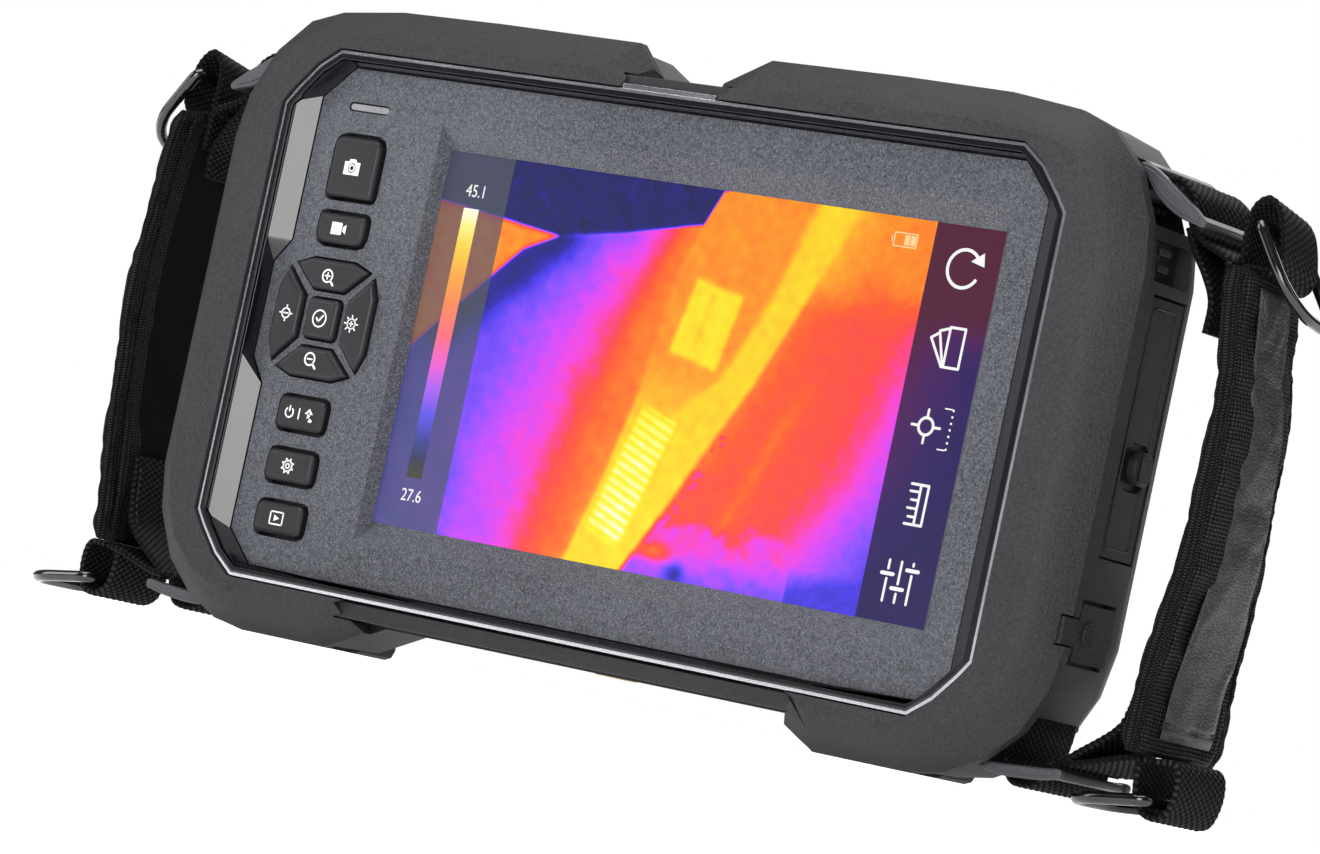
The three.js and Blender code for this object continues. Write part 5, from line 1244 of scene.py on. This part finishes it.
k.stroke([(bx - 3.6, bz - 0.6), (bx - 3.6, bz + 0.6)], 0.28)
k.fill([(bx - 0.2, bz - 1.1), (bx + 1.1, bz - 1.1), (bx + 1.1, bz + 1.1), (bx - 0.2, bz + 1.1)])
k.fill([(bx + 1.4, bz - 1.1), (bx + 2.7, bz - 1.1), (bx + 2.7, bz + 1.1), (bx + 1.4, bz + 1.1)])
k.make("screen_charge_mark", YI, YF - 0.05, "amber_ui", "unit", "screen_glass")


# ------------------------------------------------------------------ camera, floor and light
cam_data = bpy.data.cameras.new("camera")
cam = bpy.data.objects.new("camera", cam_data)
bpy.context.scene.collection.objects.link(cam)
bpy.context.scene.camera = cam
cam_data.sensor_width, cam_data.lens = 36.0, 164.1
cam_data.clip_start, cam_data.clip_end = 0.05, 60
right, up, fwd = Vector((0.7921632, 0.5737210, 0.2081388)), Vector((-0.1386382, -0.1629623, 0.9768432)), Vector((-0.5943542, 0.8026752, 0.0495531))
C0 = Vector((0.81410, -1.09967, -0.00286))
C1 = C0 + Vector((0, 0, 0.0050))                         # kept above the floor
aim = D(5, 10, 0)
R = Matrix((right, up, -fwd)).transposed()
Q = (aim - C0).normalized().rotation_difference((aim - C1).normalized()).to_matrix()
cam.matrix_world = Matrix.Translation(C1) @ (Q @ R).to_4x4()

bm = bmesh.new()
bmesh.ops.create_grid(bm, x_segments=2, y_segments=2, size=14.0)
me = bpy.data.meshes.new("floor")
bm.to_mesh(me); bm.free()
floor = bpy.data.objects.new("floor", me)
floor.location = (0, 0, -0.0004)
bpy.context.scene.collection.objects.link(floor)
t = Tree("pale_floor")
dist = t.node("ShaderNodeVectorMath", {0: t.coords()}, operation="LENGTH").outputs["Value"]
# the floor glows at full strength far off, reading as a white backdrop, and is dimmed to 0.55 within 0.22 m of the
# object: painted shade round the object's base
floor_glow_with_painted_shade = t.range(dist, 0.22, 0.8, 0.55, 1.0)
t.set(base=t.ramp(t.noise(3.0), [(0.3, (0.86, 0.86, 0.865)), (0.7, (0.89, 0.89, 0.895))]), rough=0.9, spec=0.1, emit=(1.0, 1.0, 1.0), power=floor_glow_with_painted_shade)
me.materials.append(t.m)


def area(name, loc, aim_at, size, power, colour=(1, 1, 1)):
    L = bpy.data.lights.new(name, "AREA")
    L.shape, L.size, L.size_y, L.energy, L.color = "RECTANGLE", size[0], size[1], power, colour
    o = bpy.data.objects.new(name, L)
    bpy.context.scene.collection.objects.link(o)
    o.location = loc
    o.rotation_mode = "QUATERNION"
    o.rotation_quaternion = (Vector(aim_at) - Vector(loc)).to_track_quat("-Z", "Y")
    return o


area("soft_front_right", (0.72, -1.66, 0.42), (0, 0, 0.07), (0.9, 1.3), 25)
area("soft_top", (-0.2, -0.3, 1.7), (0, 0, 0), (1.6, 1.2), 25)
area("soft_left", (-1.5, -0.9, 0.8), (0, 0, 0.05), (0.7, 1.1), 10)
area("soft_right_side", (1.7, 0.25, 0.9), (0.1, 0, 0.05), (0.7, 1.0), 2.5)
area("soft_back", (-0.3, 1.8, 1.2), (0, 0, 0.05), (1.4, 1.0), 9)

world = bpy.data.worlds.new("studio")
bpy.context.scene.world = world
world.use_nodes = True
nt = world.node_tree
bg = nt.nodes["Background"]
lp = nt.nodes.new("ShaderNodeLightPath")
mx = nt.nodes.new("ShaderNodeMix")
mx.data_type = "RGBA"
nt.links.new(lp.outputs["Is Camera Ray"], mx.inputs[0])
mx.inputs[6].default_value = (0.115, 0.118, 0.125, 1)
mx.inputs[7].default_value = (1.0, 1.0, 1.0, 1)
nt.links.new(mx.outputs[2], bg.inputs["Color"])
bg.inputs["Strength"].default_value = 1.0
sc = bpy.context.scene
sc.view_settings.view_transform = "Standard"
sc.view_settings.look = "None"
sc.view_settings.exposure = 0.0
sc.view_settings.gamma = 1.0
